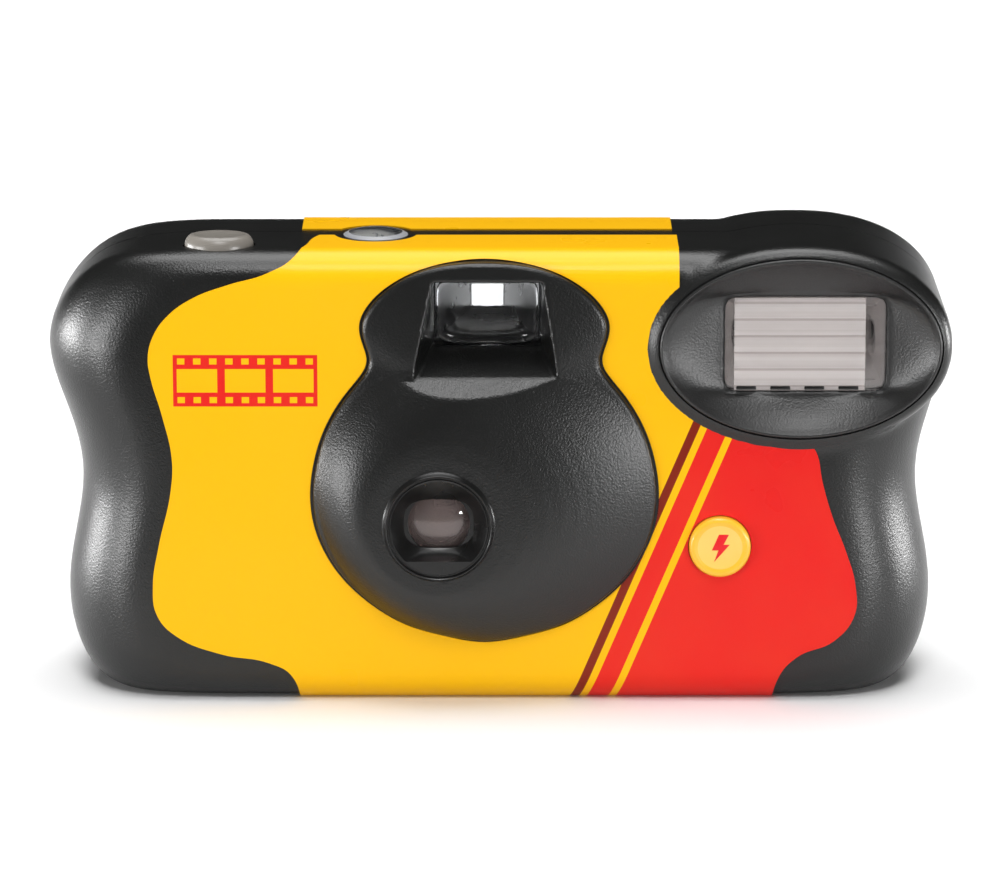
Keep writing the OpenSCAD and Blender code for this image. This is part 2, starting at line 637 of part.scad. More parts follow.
module main_frame() {
  gate_x0 = lens_x - frame_w / 2;
  gate_x1 = lens_x + frame_w / 2;
  film_z0 = lens_z - film_w / 2;
  film_z1 = lens_z + film_w / 2;
  color([0.16, 0.16, 0.17]) difference() {
    union() {
      // plate around the picture
      box(gate_x0 - 0.6, gate_x1 + 1.6, gate_y - 1.6, gate_y, film_z0 - 2.6, film_z1 + 2.6);
      // light cone and shutter platform
      flare(lens_x, lens_z, frame_w + 2, frame_h + 2, gate_y - 1, lens_x, lens_z, 10, 9, plat_y + plat_t);
      box(lens_x - 17.5, lens_x + 17, plat_y, plat_y + plat_t, lens_z - 14.5, lens_z + 19);
      for (x = [lens_x - 17.5, lens_x + 14]) box(x, x + 2, plat_y, gate_y - 1, lens_z + 15.6, lens_z + 17);
      for (x = [lens_x - 12, lens_x + 12]) box(x, x + 1.4, plat_y, gate_y - 1, lens_z - 16, lens_z - 14.2);
      // cartridge chamber
      zbar(cart_x, cart_y, cart_z + 2, deck_z + deck_t, chamber_r + chamber_w);
      // deck over the cartridge, reaching under the counter
      box(cart_x, finder_x - 9.6, plat_y + plat_t + 0.4, gate_y, deck_z, deck_z + deck_t);
      // supply chamber and its two ends
      zbar(supply_x, supply_y, film_z0 - 2.2, supply_top + 1.2, supply_in + supply_w);
      for (z = [film_z0 - 2.2, supply_top]) box(gate_x1 - 3, supply_x, 3, gate_y, z, z + 1.2);
      // lower bearing of the sprocket
      box(sprocket_x - 3, sprocket_x + 3, sprocket_y - 3, gate_y - 1, perf_z - 3.4, perf_z - 2.2);
      // wall between the deck and the plate
      box(sprocket_x + 7.6, finder_x - 6.4, gate_y - 1.6, gate_y, film_z1, deck_z + 0.2);
      // battery cradle: floor, front wall, roof and back stop
      box(battery_x - 9.2, battery_x + 1, battery_y - battery_r - 1.05, battery_y + 7.9, battery_z - 1.6, battery_z - 0.6);
      box(battery_x, battery_x + 4, battery_y - battery_r - 1.05, battery_y + 5, battery_z - 1.6, battery_z - 0.6);
      box(supply_x + supply_in + 0.2, battery_x - battery_r - 0.5, supply_y - 0.6, supply_y + 0.6, battery_z - 1.6,
        supply_top - 8);
      box(battery_x - 4, battery_x + 4, battery_y - battery_r - 1.05, battery_y - battery_r - 0.05, battery_z - 1.6,
        battery_z + battery_l + 1.6);
      box(battery_x - 4, battery_x + 3, battery_y - battery_r - 1.05, battery_y + 1.6, battery_z + battery_l + 0.6,
        battery_z + battery_l + 1.6);
      box(battery_x - 6, battery_x + 1, battery_y + battery_r + 0.05, battery_y + 7.9, battery_z - 1.6, battery_z + 26);
      // post of the counter
      zbar(counter_x, counter_y, deck_z, counter_z + 1.8, shaft_r);
      zbar(counter_x, counter_y, deck_z, counter_z - 0.1, shaft_r + 1.2);
      // pins of the shutter and the striker
      ybar(blade_x, blade_z, plat_y - 3.9, plat_y, pin_r);
      ybar(striker_x, striker_z, plat_y - 3.4, plat_y, pin_r);
      ybar(striker_x, striker_z, plat_y - 0.6, plat_y, pin_r + 1.2);
    }
    // picture and light cone
    flare(lens_x, lens_z, frame_w, frame_h, gate_y + 0.01, lens_x, lens_z, 7.4, 6.4, plat_y + plat_t);
    ybar(lens_x, lens_z, plat_y - 1, plat_y + plat_t + 1, aperture_r);
    // cartridge, its open back and its way out
    zbar(cart_x, cart_y, cart_z - 1, cart_top + 0.2, chamber_r);
    box(cart_x - 20, cart_x + 13, gate_y, gate_y + 8, 0, deck_z + deck_t + 1);
    box(cart_x + 3, gate_x0 - 0.2, gate_y - 2.4, gate_y + 1, cart_z - 1, deck_z);
    zbar(cart_x, cart_y, deck_z - 1, deck_z + deck_t + 1, boss_r + shaft_fit);
    // supply chamber, open at the back
    zbar(supply_x, supply_y, film_z0 - 1, supply_top - 0.1, supply_in);
    zbar(supply_x, supply_y, film_z0 - 3, supply_top + 2, 2.5 + shaft_fit);
    box(gate_x1 - 0.5, supply_x, gate_y - 2.2, gate_y + 3, film_z0 - 1, supply_top - 0.1);
    box(supply_x - 12, supply_x + 12, gate_y, gate_y + 4, film_z0 - 3, supply_top + 2);
    // sprocket shaft and its window in the plate
    zbar(sprocket_x, sprocket_y, perf_z - 4, deck_z + deck_t + 1, shaft_r + shaft_fit);
    zbar(sprocket_x, sprocket_y, perf_z - 1.6, deck_z - 1.6, sprocket_r + 1.5);
  }
}

module cartridge_shell() {
  slot_y = film_y - cart_y;
  color([0.75, 0.72, 0.3]) difference() {
    union() {
      zbar(cart_x, cart_y, cart_z + 0.5, cart_top - 0.5, cart_r - 0.25);
      box(cart_x + 6, cart_x + 10.4, film_y - 1, film_y + 1, cart_z + 3, cart_top - 3);
    }
    zbar(cart_x, cart_y, cart_z, cart_top, cart_r - 0.6);
    box(cart_x, cart_x + 12, film_y - 0.3, film_y + 0.3, lens_z - film_w / 2 - 0.4, lens_z + film_w / 2 + 0.4);
  }
}

module cartridge_caps() {
  color([0.6, 0.6, 0.62]) for (z = [cart_z, cart_top - 1]) difference() {
    zbar(cart_x, cart_y, z, z + 1, cart_r);
    zbar(cart_x, cart_y, z - 1, z + 2, hub_r + 0.1);
    zbar(cart_x, cart_y, z == cart_z ? z + 0.5 : z - 0.5, z == cart_z ? z + 2 : z + 0.5, cart_r - 0.25);
  }
}

module cartridge_spool() {
  color([0.2, 0.2, 0.2]) difference() {
    union() {
      zbar(cart_x, cart_y, cart_z + 0.2, cart_top + hub_out, hub_r);
      zbar(cart_x, cart_y, lens_z - film_w / 2 - 1, lens_z + film_w / 2 + 1, 5.75);
      for (z = [lens_z - film_w / 2 - 1.6, lens_z + film_w / 2 + 0.6]) zbar(cart_x, cart_y, z, z + 1, 9);
    }
    zbar(cart_x, cart_y, cart_z - 1, cart_z + 6, 2.6);
    zbar(cart_x, cart_y, cart_top - 3, cart_top + hub_out + 1, 2.6);
  }
}

module thumbwheel() {
  color([0.1, 0.1, 0.1]) difference() {
    union() {
      translate([cart_x, cart_y, wheel_z]) linear_extrude(wheel_t)
        polygon([for (i = [0:2 * wheel_notches - 1]) let(r = wheel_r - (i % 2) * 0.5, t = 180 * i / wheel_notches)
          [r * cos(t), r * sin(t)]]);
      zbar(cart_x, cart_y, cart_top + 0.2, wheel_z + 0.1, boss_r);
    }
    zbar(cart_x, cart_y, cart_top, cart_top + hub_out, hub_r);
    zbar(cart_x, cart_y, wheel_z + 2.4, wheel_z + wheel_t + 1, wheel_r - 3.5);
  }
}

// springy finger on the deck that lets the wheel turn one way
module reverse_pawl() {
  color([0.2, 0.2, 0.22]) {
    box(cart_x + wheel_r + 0.6, cart_x + wheel_r + 1.4, cart_y - 8, cart_y - 0.5, deck_z + deck_t, wheel_z + 2.2);
    box(cart_x + wheel_r + 0.4, cart_x + wheel_r + 2.4, cart_y - 9.5, cart_y - 8, deck_z + deck_t, wheel_z + 2.2);
  }
}

module film_strip() {
  x0 = cart_x + 6.4;
  color([0.25, 0.2, 0.2]) difference() {
    box(x0, supply_x, film_y - film_t / 2, film_y + film_t / 2, lens_z - film_w / 2, lens_z + film_w / 2);
    for (z = [-1, 1]) for (x = [sprocket_x - 2 * perf_pitch:perf_pitch:supply_x - 2])
      box(x - 0.99, x + 0.99, film_y - 1, film_y + 1, lens_z + z * (film_w / 2 - 2.8) - 1.4,
        lens_z + z * (film_w / 2 - 2.8) + 1.4);
  }
}

module film_roll() {
  color([0.3, 0.24, 0.22]) difference() {
    zbar(supply_x, supply_y, lens_z - film_w / 2, lens_z + film_w / 2, roll_r);
    zbar(supply_x, supply_y, 0, body_h, 4.5);
  }
}

module supply_spool() {
  color([0.85, 0.85, 0.82]) {
    zbar(supply_x, supply_y, lens_z - film_w / 2 - 0.7, lens_z + film_w / 2 + 0.7, 4.5);
    zbar(supply_x, supply_y, lens_z - film_w / 2 - 2, supply_top + 1, 2.5);
  }
}

module film_sprocket() {
  color([0.88, 0.88, 0.85]) {
    zbar(sprocket_x, sprocket_y, perf_z - 3.3, counter_z + 1.2, shaft_r);
    zbar(sprocket_x, sprocket_y, perf_z - 1.4, perf_z + 1.4, sprocket_r - 0.35);
    for (i = [0:sprocket_teeth - 1]) translate([sprocket_x, sprocket_y, perf_z]) rotate([0, 0, 90 + i * 360 / sprocket_teeth])
      translate([3, -0.6, -0.7]) cube([sprocket_r - 2.1, 1.2, 1.4]);
    // metering cam with its notch, and the single tooth that steps the counter
    difference() {
      zbar(sprocket_x, sprocket_y, deck_z + deck_t + 0.6, deck_z + deck_t + 2.2, 4);
      box(sprocket_x - 5, sprocket_x - 2.4, sprocket_y - 0.8, sprocket_y + 0.8, deck_z, deck_z + 8);
    }
    box(sprocket_x - 0.5, sprocket_x + 0.5, sprocket_y - 5.2, sprocket_y, counter_z, counter_z + 0.9);
  }
}

module counter_wheel() {
  color([0.92, 0.92, 0.9]) translate([counter_x, counter_y, 0]) difference() {
    union() {
      translate([0, 0, counter_z + 0.8]) cylinder(h = 1.1, r = counter_r);
      translate([0, 0, counter_z]) linear_extrude(0.9) polygon([for (i = [0:59])
        let(r = counter_r - 0.2 - (i % 2) * 0.8) [r * cos(i * 6), r * sin(i * 6)]]);
    }
    translate([0, 0, counter_z - 1]) cylinder(h = 4, r = shaft_r + shaft_fit);
  }
}

module shutter_blade() {
  color([0.2, 0.2, 0.21]) difference() {
    plate(plat_y - 0.15 - blade_t, plat_y - 0.15) union() {
      hull() {
        translate([blade_x, blade_z]) circle(r = 2.2);
        translate([lens_x, lens_z]) circle(r = aperture_r + 0.8);
      }
      hull() {
        translate([blade_x, blade_z]) circle(r = 1.8);
        translate([blade_x - 3, blade_z + 5]) circle(r = 0.9);
      }
    }
    ybar(blade_x, blade_z, plat_y - 2, plat_y + 1, pin_r + shaft_fit);
  }
}

// sprung wire: coil round an axis along Y with a straight leg at each end
module coil(x, z, y, big, pitch, turns, a0, leg0, leg1, wire) {
  step = 24;
  n = floor(turns * 360 / step);
  ends = [for (k = [0:n]) let(t = a0 + k * step) [x + big * cos(t), y - pitch * k * step / 360, z + big * sin(t), t]];
  first = ends[0];
  last = ends[n];
  path = concat([[first[0] + leg0 * sin(first[3]), first[1], first[2] - leg0 * cos(first[3]), first[3]]], ends,
    [[last[0] - leg1 * sin(last[3]), last[1], last[2] + leg1 * cos(last[3]), last[3]]]);
  sides = 6;
  m = len(path);
  polyhedron([for (p = path) for (i = [0:sides - 1]) let(u = 360 * i / sides)
    [p[0] + wire * cos(u) * cos(p[3]), p[1] + wire * sin(u), p[2] + wire * cos(u) * sin(p[3])]],
    concat([for (k = [0:m - 2]) for (i = [0:sides - 1]) let(j = (i + 1) % sides)
        [k * sides + j, k * sides + i, (k + 1) * sides + j]],
      [for (k = [0:m - 2]) for (i = [0:sides - 1]) let(j = (i + 1) % sides)
        [k * sides + i, (k + 1) * sides + i, (k + 1) * sides + j]],
      [[for (i = [0:sides - 1]) i]], [[for (i = [sides - 1:-1:0]) (m - 1) * sides + i]]));
}

module shutter_spring() {
  color([0.7, 0.7, 0.72]) coil(blade_x, blade_z, plat_y - 2.2, pin_r + 0.26, 0.5, 2.5, 200, 4, 4.6, 0.2);
}

module striker_lever() {
  color([0.22, 0.22, 0.23]) difference() {
    plate(plat_y - 0.7 - striker_t, plat_y - 0.7) union() {
      hull() {
        translate([striker_x, striker_z]) circle(r = 2.2);
        translate([striker_x + 7, striker_z - 5.9]) circle(r = 1);
      }
      hull() {
        translate([striker_x, striker_z]) circle(r = 2);
        translate([striker_x - 5.4, striker_z - 1]) circle(r = 1.2);
      }
    }
    ybar(striker_x, striker_z, plat_y - 3, plat_y + 1, pin_r + shaft_fit);
  }
}

module striker_spring() {
  color([0.7, 0.7, 0.72]) coil(striker_x, striker_z, plat_y - 1.75, pin_r + 0.26, 0.5, 2.5, 340, 4, 4, 0.2);
}

// lever under the shutter button, rocking about a pin along Y
module release_lever() {
  color([0.2, 0.2, 0.22]) {
    box(button_x - 1.8, lever_x + 2.5, button_y - 1.8, button_y + 1.8, lever_z, lever_z + lever_t);
    translate([lever_x, button_y - 4, lever_z + lever_t / 2]) rotate([-90, 0, 0]) cylinder(h = 8, r = 0.6);
    box(lever_x - 1, lever_x + 1, button_y - 1.8, button_y + 1.8, lever_z - 0.5, lever_z + lever_t);
  }
}

module flash_window() {
  x = flash_x + 0.7;
  color([0.9, 0.93, 0.95, 0.5]) {
    plate(window_y - 0.4, panel_y + 3) round_rect(x, flash_z, window_w - 0.2, window_h - 0.2, 1.9);
    plate(panel_y + 3, panel_y + 3.8) round_rect(x, flash_z, window_w + 2, window_h + 2, 1);
    for (i = [-3:3]) xbar(x - window_w / 2 + 1.2, x + window_w / 2 - 1.2, window_y - 0.35, flash_z + i * window_h / 8.2, 0.5);
  }
}

module flash_reflector() {
  x = flash_x + 0.7;
  y0 = panel_y + 3.8;
  color([0.85, 0.85, 0.85]) difference() {
    flare(x, flash_z, window_w + 0.6, window_h + 0.6, y0 + 0.01, x, flash_z, window_w - 3.4, 5, y0 + 8);
    flare(x, flash_z, window_w - 0.2, window_h - 0.2, y0 - 0.02, x, flash_z, window_w - 4.2, 4.2, y0 + 7.6);
    xbar(x - 20, x + 20, y0 + 5.4, flash_z, 1.65);
  }
}

module flash_tube() {
  x = flash_x + 0.7;
  y = panel_y + 3.8 + 5.4;
  color([0.9, 0.9, 0.95, 0.5]) {
    xbar(x - window_w / 2 - 1, x + window_w / 2 + 1, y, flash_z, 1.6);
    for (s = [-1, 1]) xbar(x + s * (window_w / 2 + 1) - 0.6, x + s * (window_w / 2 + 1) + 0.6, y, flash_z, 1.6);
  }
}

module circuit_board() {
  color([0.45, 0.3, 0.12]) difference() {
    box(12.6, 48.4, board_y, board_y + board_t, 5, 33);
    box(44, 50, board_y - 1, board_y + 3, 0, 9);
  }
}

module storage_capacitor() {
  color([0.12, 0.12, 0.2]) {
    xbar(cap_x, cap_x + cap_l, cap_y, cap_z, cap_d / 2);
    for (s = [-2, 2]) xbar(cap_x + cap_l, cap_x + cap_l + 0.6, cap_y + s, cap_z, 0.4);
  }
}

module transformer() {
  y = board_y + board_t;
  color([0.75, 0.6, 0.2]) {
    box(36, 46, y, y + 1, 10, 20);
    translate([41, y + 1, 15]) rotate([-90, 0, 0]) cylinder(h = 3, r = 4);
    box(36, 46, y + 4, y + 5, 10, 20);
  }
}

module trigger_coil() {
  y = board_y + board_t;
  color([0.5, 0.25, 0.1]) {
    box(35, 42, y, y + 4, 22, 23);
    translate([38.5, y + 2.2, 23]) cylinder(h = 5, r = 2);
    box(35, 42, y, y + 4, 28, 29);
  }
}

module transistor() {
  y = board_y + board_t;
  color([0.08, 0.08, 0.08]) intersection() {
    translate([45.2, y, 22]) cylinder(h = 4.6, r = 2.3);
    box(42, 49, y, y + 2, 21, 28);
  }
}

module resistor() {
  y = board_y + board_t;
  color([0.8, 0.7, 0.5]) xbar(36.5, 42.5, y + 1, 31, 1);
}

module battery() {
  color([0.25, 0.45, 0.28]) {
    zbar(battery_x, battery_y, battery_z, battery_z + battery_l - 1.2, battery_r);
    zbar(battery_x, battery_y, battery_z + battery_l - 1.2, battery_z + battery_l, 2.7);
  }
}

module contact_lower() {
  color([0.75, 0.73, 0.65]) {
    box(battery_x - 5, battery_x + 5, battery_y - 5, battery_y + 5, battery_z - 0.6, battery_z - 0.3);
    zbar(battery_x, battery_y, battery_z - 0.35, battery_z, 2.5);
  }
}

module contact_upper() {
  color([0.75, 0.73, 0.65]) {
    box(battery_x - 4, battery_x + 4, battery_y - 4, battery_y + 4, battery_z + battery_l + 0.2, battery_z + battery_l + 0.6);
    zbar(battery_x, battery_y, battery_z + battery_l, battery_z + battery_l + 0.3, 2);
  }
}

module charge_leaf() {
  color([0.8, 0.68, 0.35]) {
    box(charge_x - 1.5, charge_x + 1.5, board_y - 0.8, board_y - 0.5, charge_z - 3, charge_z + 6);
    box(charge_x - 1.5, charge_x + 1.5, board_y - 0.8, board_y, charge_z + 4.5, charge_z + 6);
  }
}

module sync_leaf() {
  color([0.8, 0.68, 0.35]) {
    box(lens_x + 12, lens_x + 12.3, plat_y - 1.6, plat_y, lens_z - 2, lens_z + 6);
    box(lens_x + 12, lens_x + 14, plat_y - 0.3, plat_y, lens_z - 2, lens_z + 6);
  }
}

module ready_lamp() {
  color([0.9, 0.5, 0.25, 0.7]) ybar(lamp_x, lamp_z, film_y - 9, film_y + 1.2, 1.9);
}

module ready_window() {
  color([0.95, 0.5, 0.2, 0.7]) {
    ybar(lamp_x, lamp_z, film_y + 1.2, back_y + 0.1, 2.25);
    ybar(lamp_x, lamp_z, film_y + 1.2, back_y - wall, 3);
  }
}

front_cover();
rear_cover();
front_label();
rear_label();
shutter_button();
charge_button();
counter_window();
finder_front_lens();
finder_eyepiece();
finder_tube();
taking_lens();
lens_holder();
lens_retainer();
main_frame();
cartridge_shell();
cartridge_caps();
cartridge_spool();
thumbwheel();
reverse_pawl();
film_strip();
film_roll();
supply_spool();
film_sprocket();
counter_wheel();
shutter_blade();
shutter_spring();
striker_lever();
striker_spring();
release_lever();
flash_window();
flash_reflector();
flash_tube();
circuit_board();
storage_capacitor();
transformer();
trigger_coil();
transistor();
resistor();
battery();
contact_lower();
contact_upper();
charge_leaf();
sync_leaf();
ready_lamp();
ready_window();
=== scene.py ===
# %% [markdown]
# # A single-use film camera
# The camera is two black moulded covers snapped together, with a glossy printed label round the
# middle, a domed lens surround, a finder window, a flash in an oval bezel and a few buttons.
# This lesson dresses the measured solids: what shows is modelled again with soft, moulded edges,
# and what is only glimpsed keeps its solid and gets a better finish.

# %% Load the frame
from math import cos, pi, radians, sin, tan

import bmesh
import bpy
from mathutils import Matrix, Vector


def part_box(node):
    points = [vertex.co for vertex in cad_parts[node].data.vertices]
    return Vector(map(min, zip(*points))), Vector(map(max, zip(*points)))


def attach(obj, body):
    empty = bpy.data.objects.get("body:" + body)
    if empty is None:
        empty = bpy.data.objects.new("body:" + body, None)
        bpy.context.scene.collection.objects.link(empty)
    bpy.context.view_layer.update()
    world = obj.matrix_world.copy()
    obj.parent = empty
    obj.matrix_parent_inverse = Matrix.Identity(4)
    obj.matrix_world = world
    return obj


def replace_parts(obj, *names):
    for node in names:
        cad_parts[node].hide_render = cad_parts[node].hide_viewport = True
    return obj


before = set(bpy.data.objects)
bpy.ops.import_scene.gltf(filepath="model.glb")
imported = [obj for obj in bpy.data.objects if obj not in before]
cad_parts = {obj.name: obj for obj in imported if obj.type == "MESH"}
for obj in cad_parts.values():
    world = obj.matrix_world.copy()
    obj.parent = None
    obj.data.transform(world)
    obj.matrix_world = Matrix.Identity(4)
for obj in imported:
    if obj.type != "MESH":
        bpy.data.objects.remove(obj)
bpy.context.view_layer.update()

MM = 0.001

# %% [markdown]
# ## The camera that looks at it
# The photograph is taken with a long lens, a little above the camera, so verticals stay upright
# and the top shows as a narrow strip. The view is set first. The aim point sits above the middle so that
# no lens shift is needed.

# %% View of the photograph
VIEW_TILT = radians(13.6)
VIEW_FAR = 700 * MM
VIEW_AIM = Vector((0.1 * MM, 0, 32.3 * MM))
bpy.ops.object.select_all(action="DESELECT")
bpy.ops.object.camera_add(
    location=VIEW_AIM + VIEW_FAR * Vector((0, -cos(VIEW_TILT), sin(VIEW_TILT))),
    rotation=(pi / 2 - VIEW_TILT, 0, 0),
)
photo_view = bpy.context.object
photo_view.name = "photo_view"
photo_view.data.sensor_width = 36
photo_view.data.lens = 191.5
photo_view.data.clip_start = 0.05
photo_view.data.clip_end = 20
bpy.context.scene.camera = photo_view
print("view from", [round(v, 3) for v in photo_view.location])

# %% [markdown]
# ## Sizes shared with the solids
# These are the measured sizes of the covers, in millimetres. X runs to the right as seen from the
# front, the lens looks along -Y and Z is up. The mouldings below are drawn from the same curves as
# the solids, only finer.

# %% Sizes
HALF_W, BODY_H, WALL = 59.0, 59.5, 1.4
PANEL_Y, SEAM_Y, BACK_Y = -13.0, 2.3, 18.0
LENS_X, LENS_Z, NOSE_Y, LENS_Y = -7.8, 24.7, -18.5, -15.4
DOME_X, DOME_Z, DOME_EDGE = -1.9, 28.5, 0.9
FINDER_X, FINDER_Z, FINDER_Y = -1.55, 51.5, -9.0
EYE_Z, EYE_W, EYE_H = 49.9, 7.4, 5.6
FLASH_X, FLASH_Z, HUMP_A, HUMP_B = 38.8, 47.3, 19.6, 13.2
BEZEL_A, BEZEL_B, BEZEL_Y = 19.05, 12.65, -14.0
PANE_X, PANE_W, PANE_H, PANE_Y = 39.5, 20.8, 12.4, -10.8
CHARGE_X, CHARGE_Z, CHARGE_R = 28.6, 21.0, 4.0
KEY_X, KEY_Y, KEY_A, KEY_B, KEY_OUT = -36.2, -6.3, 4.45, 3.5, 1.4
DIAL_X, DIAL_Y, DIAL_R = -16.1, 0.0, 4.2
WHEEL_X, WHEEL_Y, WHEEL_Z, WHEEL_T = -38.8, 3.7, 49.1, 3.8
LAMP_X, LAMP_Z = 10.4, 48.5
print("body mm:", 2 * HALF_W, BACK_Y - PANEL_Y, BODY_H)

# %% [markdown]
# ## Small tools for working by hand
# Blender's operators act on whatever is selected, so each tool first clears the selection.

# %% Selecting, joining and telling
def clear():
    """Leave edit mode and select nothing."""
    if bpy.context.object and bpy.context.object.mode != "OBJECT":
        bpy.ops.object.mode_set(mode="OBJECT")
    bpy.ops.object.select_all(action="DESELECT")


def pick(piece):
    """Select one piece alone and make it active."""
    clear()
    piece.select_set(True)
    bpy.context.view_layer.objects.active = piece
    return piece


def join(pieces):
    """Join pieces into the first of them."""
    pick(pieces[0])
    for piece in pieces:
        piece.select_set(True)
    bpy.ops.object.join()
    return pieces[0]


def tell(*pieces):
    for piece in pieces:
        print(piece.name, "faces:", len(piece.data.polygons))

print("selecting tools ready")

# %% [markdown]
# ### The sweep
# Most mouldings here are lofts. The sweep starts from a circle primitive: its rim is pulled to the
# first outline, then extruded from outline to outline, the way a hand-made loft is built, and closed at
# both ends.

# %% Sweep through outlines
def sweep(name, outlines, joined=False):
    """Loft through outlines given in mm; joined closes the last outline onto the first."""
    clear()
    bpy.ops.mesh.primitive_circle_add(vertices=len(outlines[0]), radius=1)
    piece = bpy.context.object
    piece.name = piece.data.name = name
    bpy.ops.object.mode_set(mode="EDIT")
    bpy.ops.mesh.select_mode(type="VERT")
    bpy.ops.mesh.select_all(action="SELECT")
    rim = [Vector(point) * MM for point in outlines[0]]
    skin = bmesh.from_edit_mesh(piece.data)
    for vert, goal in zip(skin.verts, rim):
        vert.co = goal
    bmesh.update_edit_mesh(piece.data)
    if not joined:
        bpy.ops.mesh.edge_face_add()
    for outline in outlines[1:]:
        bpy.ops.mesh.extrude_edges_move()
        goals = [Vector(point) * MM for point in outline]
        spot = {tuple(point): i for i, point in enumerate(rim)}
        skin = bmesh.from_edit_mesh(piece.data)
        for vert in skin.verts:
            if vert.select:
                vert.co = goals[spot[tuple(vert.co)]]
        bmesh.update_edit_mesh(piece.data)
        rim = goals
    if joined:
        bpy.ops.mesh.select_all(action="SELECT")
        bpy.ops.mesh.remove_doubles(threshold=1e-7)
    else:
        bpy.ops.mesh.edge_face_add()
    bpy.ops.mesh.select_all(action="SELECT")
    bpy.ops.mesh.normals_make_consistent(inside=False)
    bpy.ops.object.mode_set(mode="OBJECT")
    return piece


print("sweep ready")

# %% [markdown]
# ### Shaping with modifiers
# Holes are cut as a toolmaker cuts them, with a tool of the hole's shape. Moulds have no sharp edges,
# so a carved form is remeshed and relaxed.

# %% Carving and softening
def finish_with(piece, kind, **settings):
    """Add one modifier to a piece and apply it."""
    pick(piece)
    bpy.ops.object.modifier_add(type=kind)
    step = piece.modifiers[-1]
    for key, value in settings.items():
        setattr(step, key, value)
    bpy.ops.object.modifier_apply(modifier=step.name)
    return piece


def carve(piece, *tools, way="DIFFERENCE"):
    """Cut tools out of a piece, or weld them on, and throw the tools away."""
    for tool in tools:
        finish_with(piece, "BOOLEAN", operation=way, object=tool, solver="EXACT")
        bpy.data.objects.remove(tool)
    return piece


def soften(piece, voxel, rounds):
    """Round all edges a little, as a mould does: remesh finely, then relax."""
    finish_with(piece, "REMESH", mode="VOXEL", voxel_size=voxel * MM, use_smooth_shade=True)
    finish_with(piece, "SMOOTH", factor=0.5, iterations=rounds)
    return piece


def smooth(piece, angle):
    """Shade smooth, with edges sharper than an angle kept."""
    pick(piece)
    bpy.ops.object.shade_smooth_by_angle(angle=radians(angle))
    return piece


print("carving tools ready")

# %% [markdown]
# ### Plain tool shapes
# Boxes, round bars and tapered blocks serve as the tools that cut.

# %% Block, rod and flare
def block(name, x0, x1, y0, y1, z0, z1):
    """Box between two corners, in mm."""
    clear()
    middle = [(low + high) / 2 * MM for low, high in ((x0, x1), (y0, y1), (z0, z1))]
    bpy.ops.mesh.primitive_cube_add(size=1, location=middle)
    piece = bpy.context.object
    piece.name = name
    piece.scale = ((x1 - x0) * MM, (y1 - y0) * MM, (z1 - z0) * MM)
    bpy.ops.object.transform_apply(location=True, rotation=True, scale=True)
    return piece


def rod(name, radius, depth, at, along="Z", sides=64):
    """Round bar along Y or Z whose middle is at a point, in mm."""
    clear()
    turn = (pi / 2, 0, 0) if along == "Y" else (0, 0, 0)
    bpy.ops.mesh.primitive_cylinder_add(vertices=sides, radius=radius * MM, depth=depth * MM,
                                        location=Vector(at) * MM, rotation=turn)
    piece = bpy.context.object
    piece.name = name
    bpy.ops.object.transform_apply(location=True, rotation=True, scale=True)
    return piece


def flare(name, near, far):
    """Tapered block between two upright rectangles (x, z, width, height, y)."""
    rings = []
    for x, z, w, h, y in (near, far):
        rings.append([(x - w / 2, y, z - h / 2), (x - w / 2, y, z + h / 2),
                      (x + w / 2, y, z + h / 2), (x + w / 2, y, z - h / 2)])
    return sweep(name, rings)


print("tool shapes ready")

# %% [markdown]
# ### Ovals and smooth curves
# Outlines are ovals, or smooth curves that a cage of points pulls along, as a draughtsman's spline is
# held by its weights.

# %% Outlines
def oval(cx, cz, a, b, y, count):
    """Upright oval of points at one depth."""
    return [(cx + a * cos(t), y, cz + b * sin(t))
            for t in (-pi / 2 - 2 * pi * i / count for i in range(count))]


def span(a, b, c, d, t):
    """One span of a smooth curve through a cage of points."""
    w = ((1 - t) ** 3 / 6, (3 * t ** 3 - 6 * t ** 2 + 4) / 6,
         (-3 * t ** 3 + 3 * t ** 2 + 3 * t + 1) / 6, t ** 3 / 6)
    return tuple(w[0] * p + w[1] * q + w[2] * r + w[3] * s for p, q, r, s in zip(a, b, c, d))


def closed_curve(cage, steps):
    """The smooth closed curve that a cage of points pulls along."""
    n = len(cage)
    return [span(cage[i - 1], cage[i], cage[(i + 1) % n], cage[(i + 2) % n], s / steps)
            for i in range(n) for s in range(steps)]


print("outlines ready")

# %% [markdown]
# ## The two covers as one block
# On the real camera the two covers meet at a seam, and their outsides run on from one to the
# other. So the outside is modelled once, as a block: a loft with a waisted outline whose front and
# back edges round away, and an oval hump for the flash. A fine remesh welds the hump on, and
# relaxing the mesh leaves the soft hollow between hump and body that the mould has.

# %% Outline of the body
ROUND_STEPS = 12


def body_half(w, h, dt, ds, db, c):
    """Cage of half the outline as (x, z, depth of rounding); c draws the flash side in a little."""
    return [(w * 0.22, 0, db), (w * 0.5, 0, db), (w - 16, 0, db), (w - 6.6, 0, (db + ds) / 2),
            (w - 2.4, 6.5, ds), (w - 1.7, 15.5, ds), (w - 5.3, h - 31.6, ds), (w - 2.4, h - 22, ds),
            (w + 1.5 - c, h - 12.6, ds), (w - 5 - 2 * c, h - 2.6 - c, (dt + ds) / 2),
            (w - 13 - 2 * c, h, dt), (w - 24, h, dt), (w * 0.3, h, dt)]


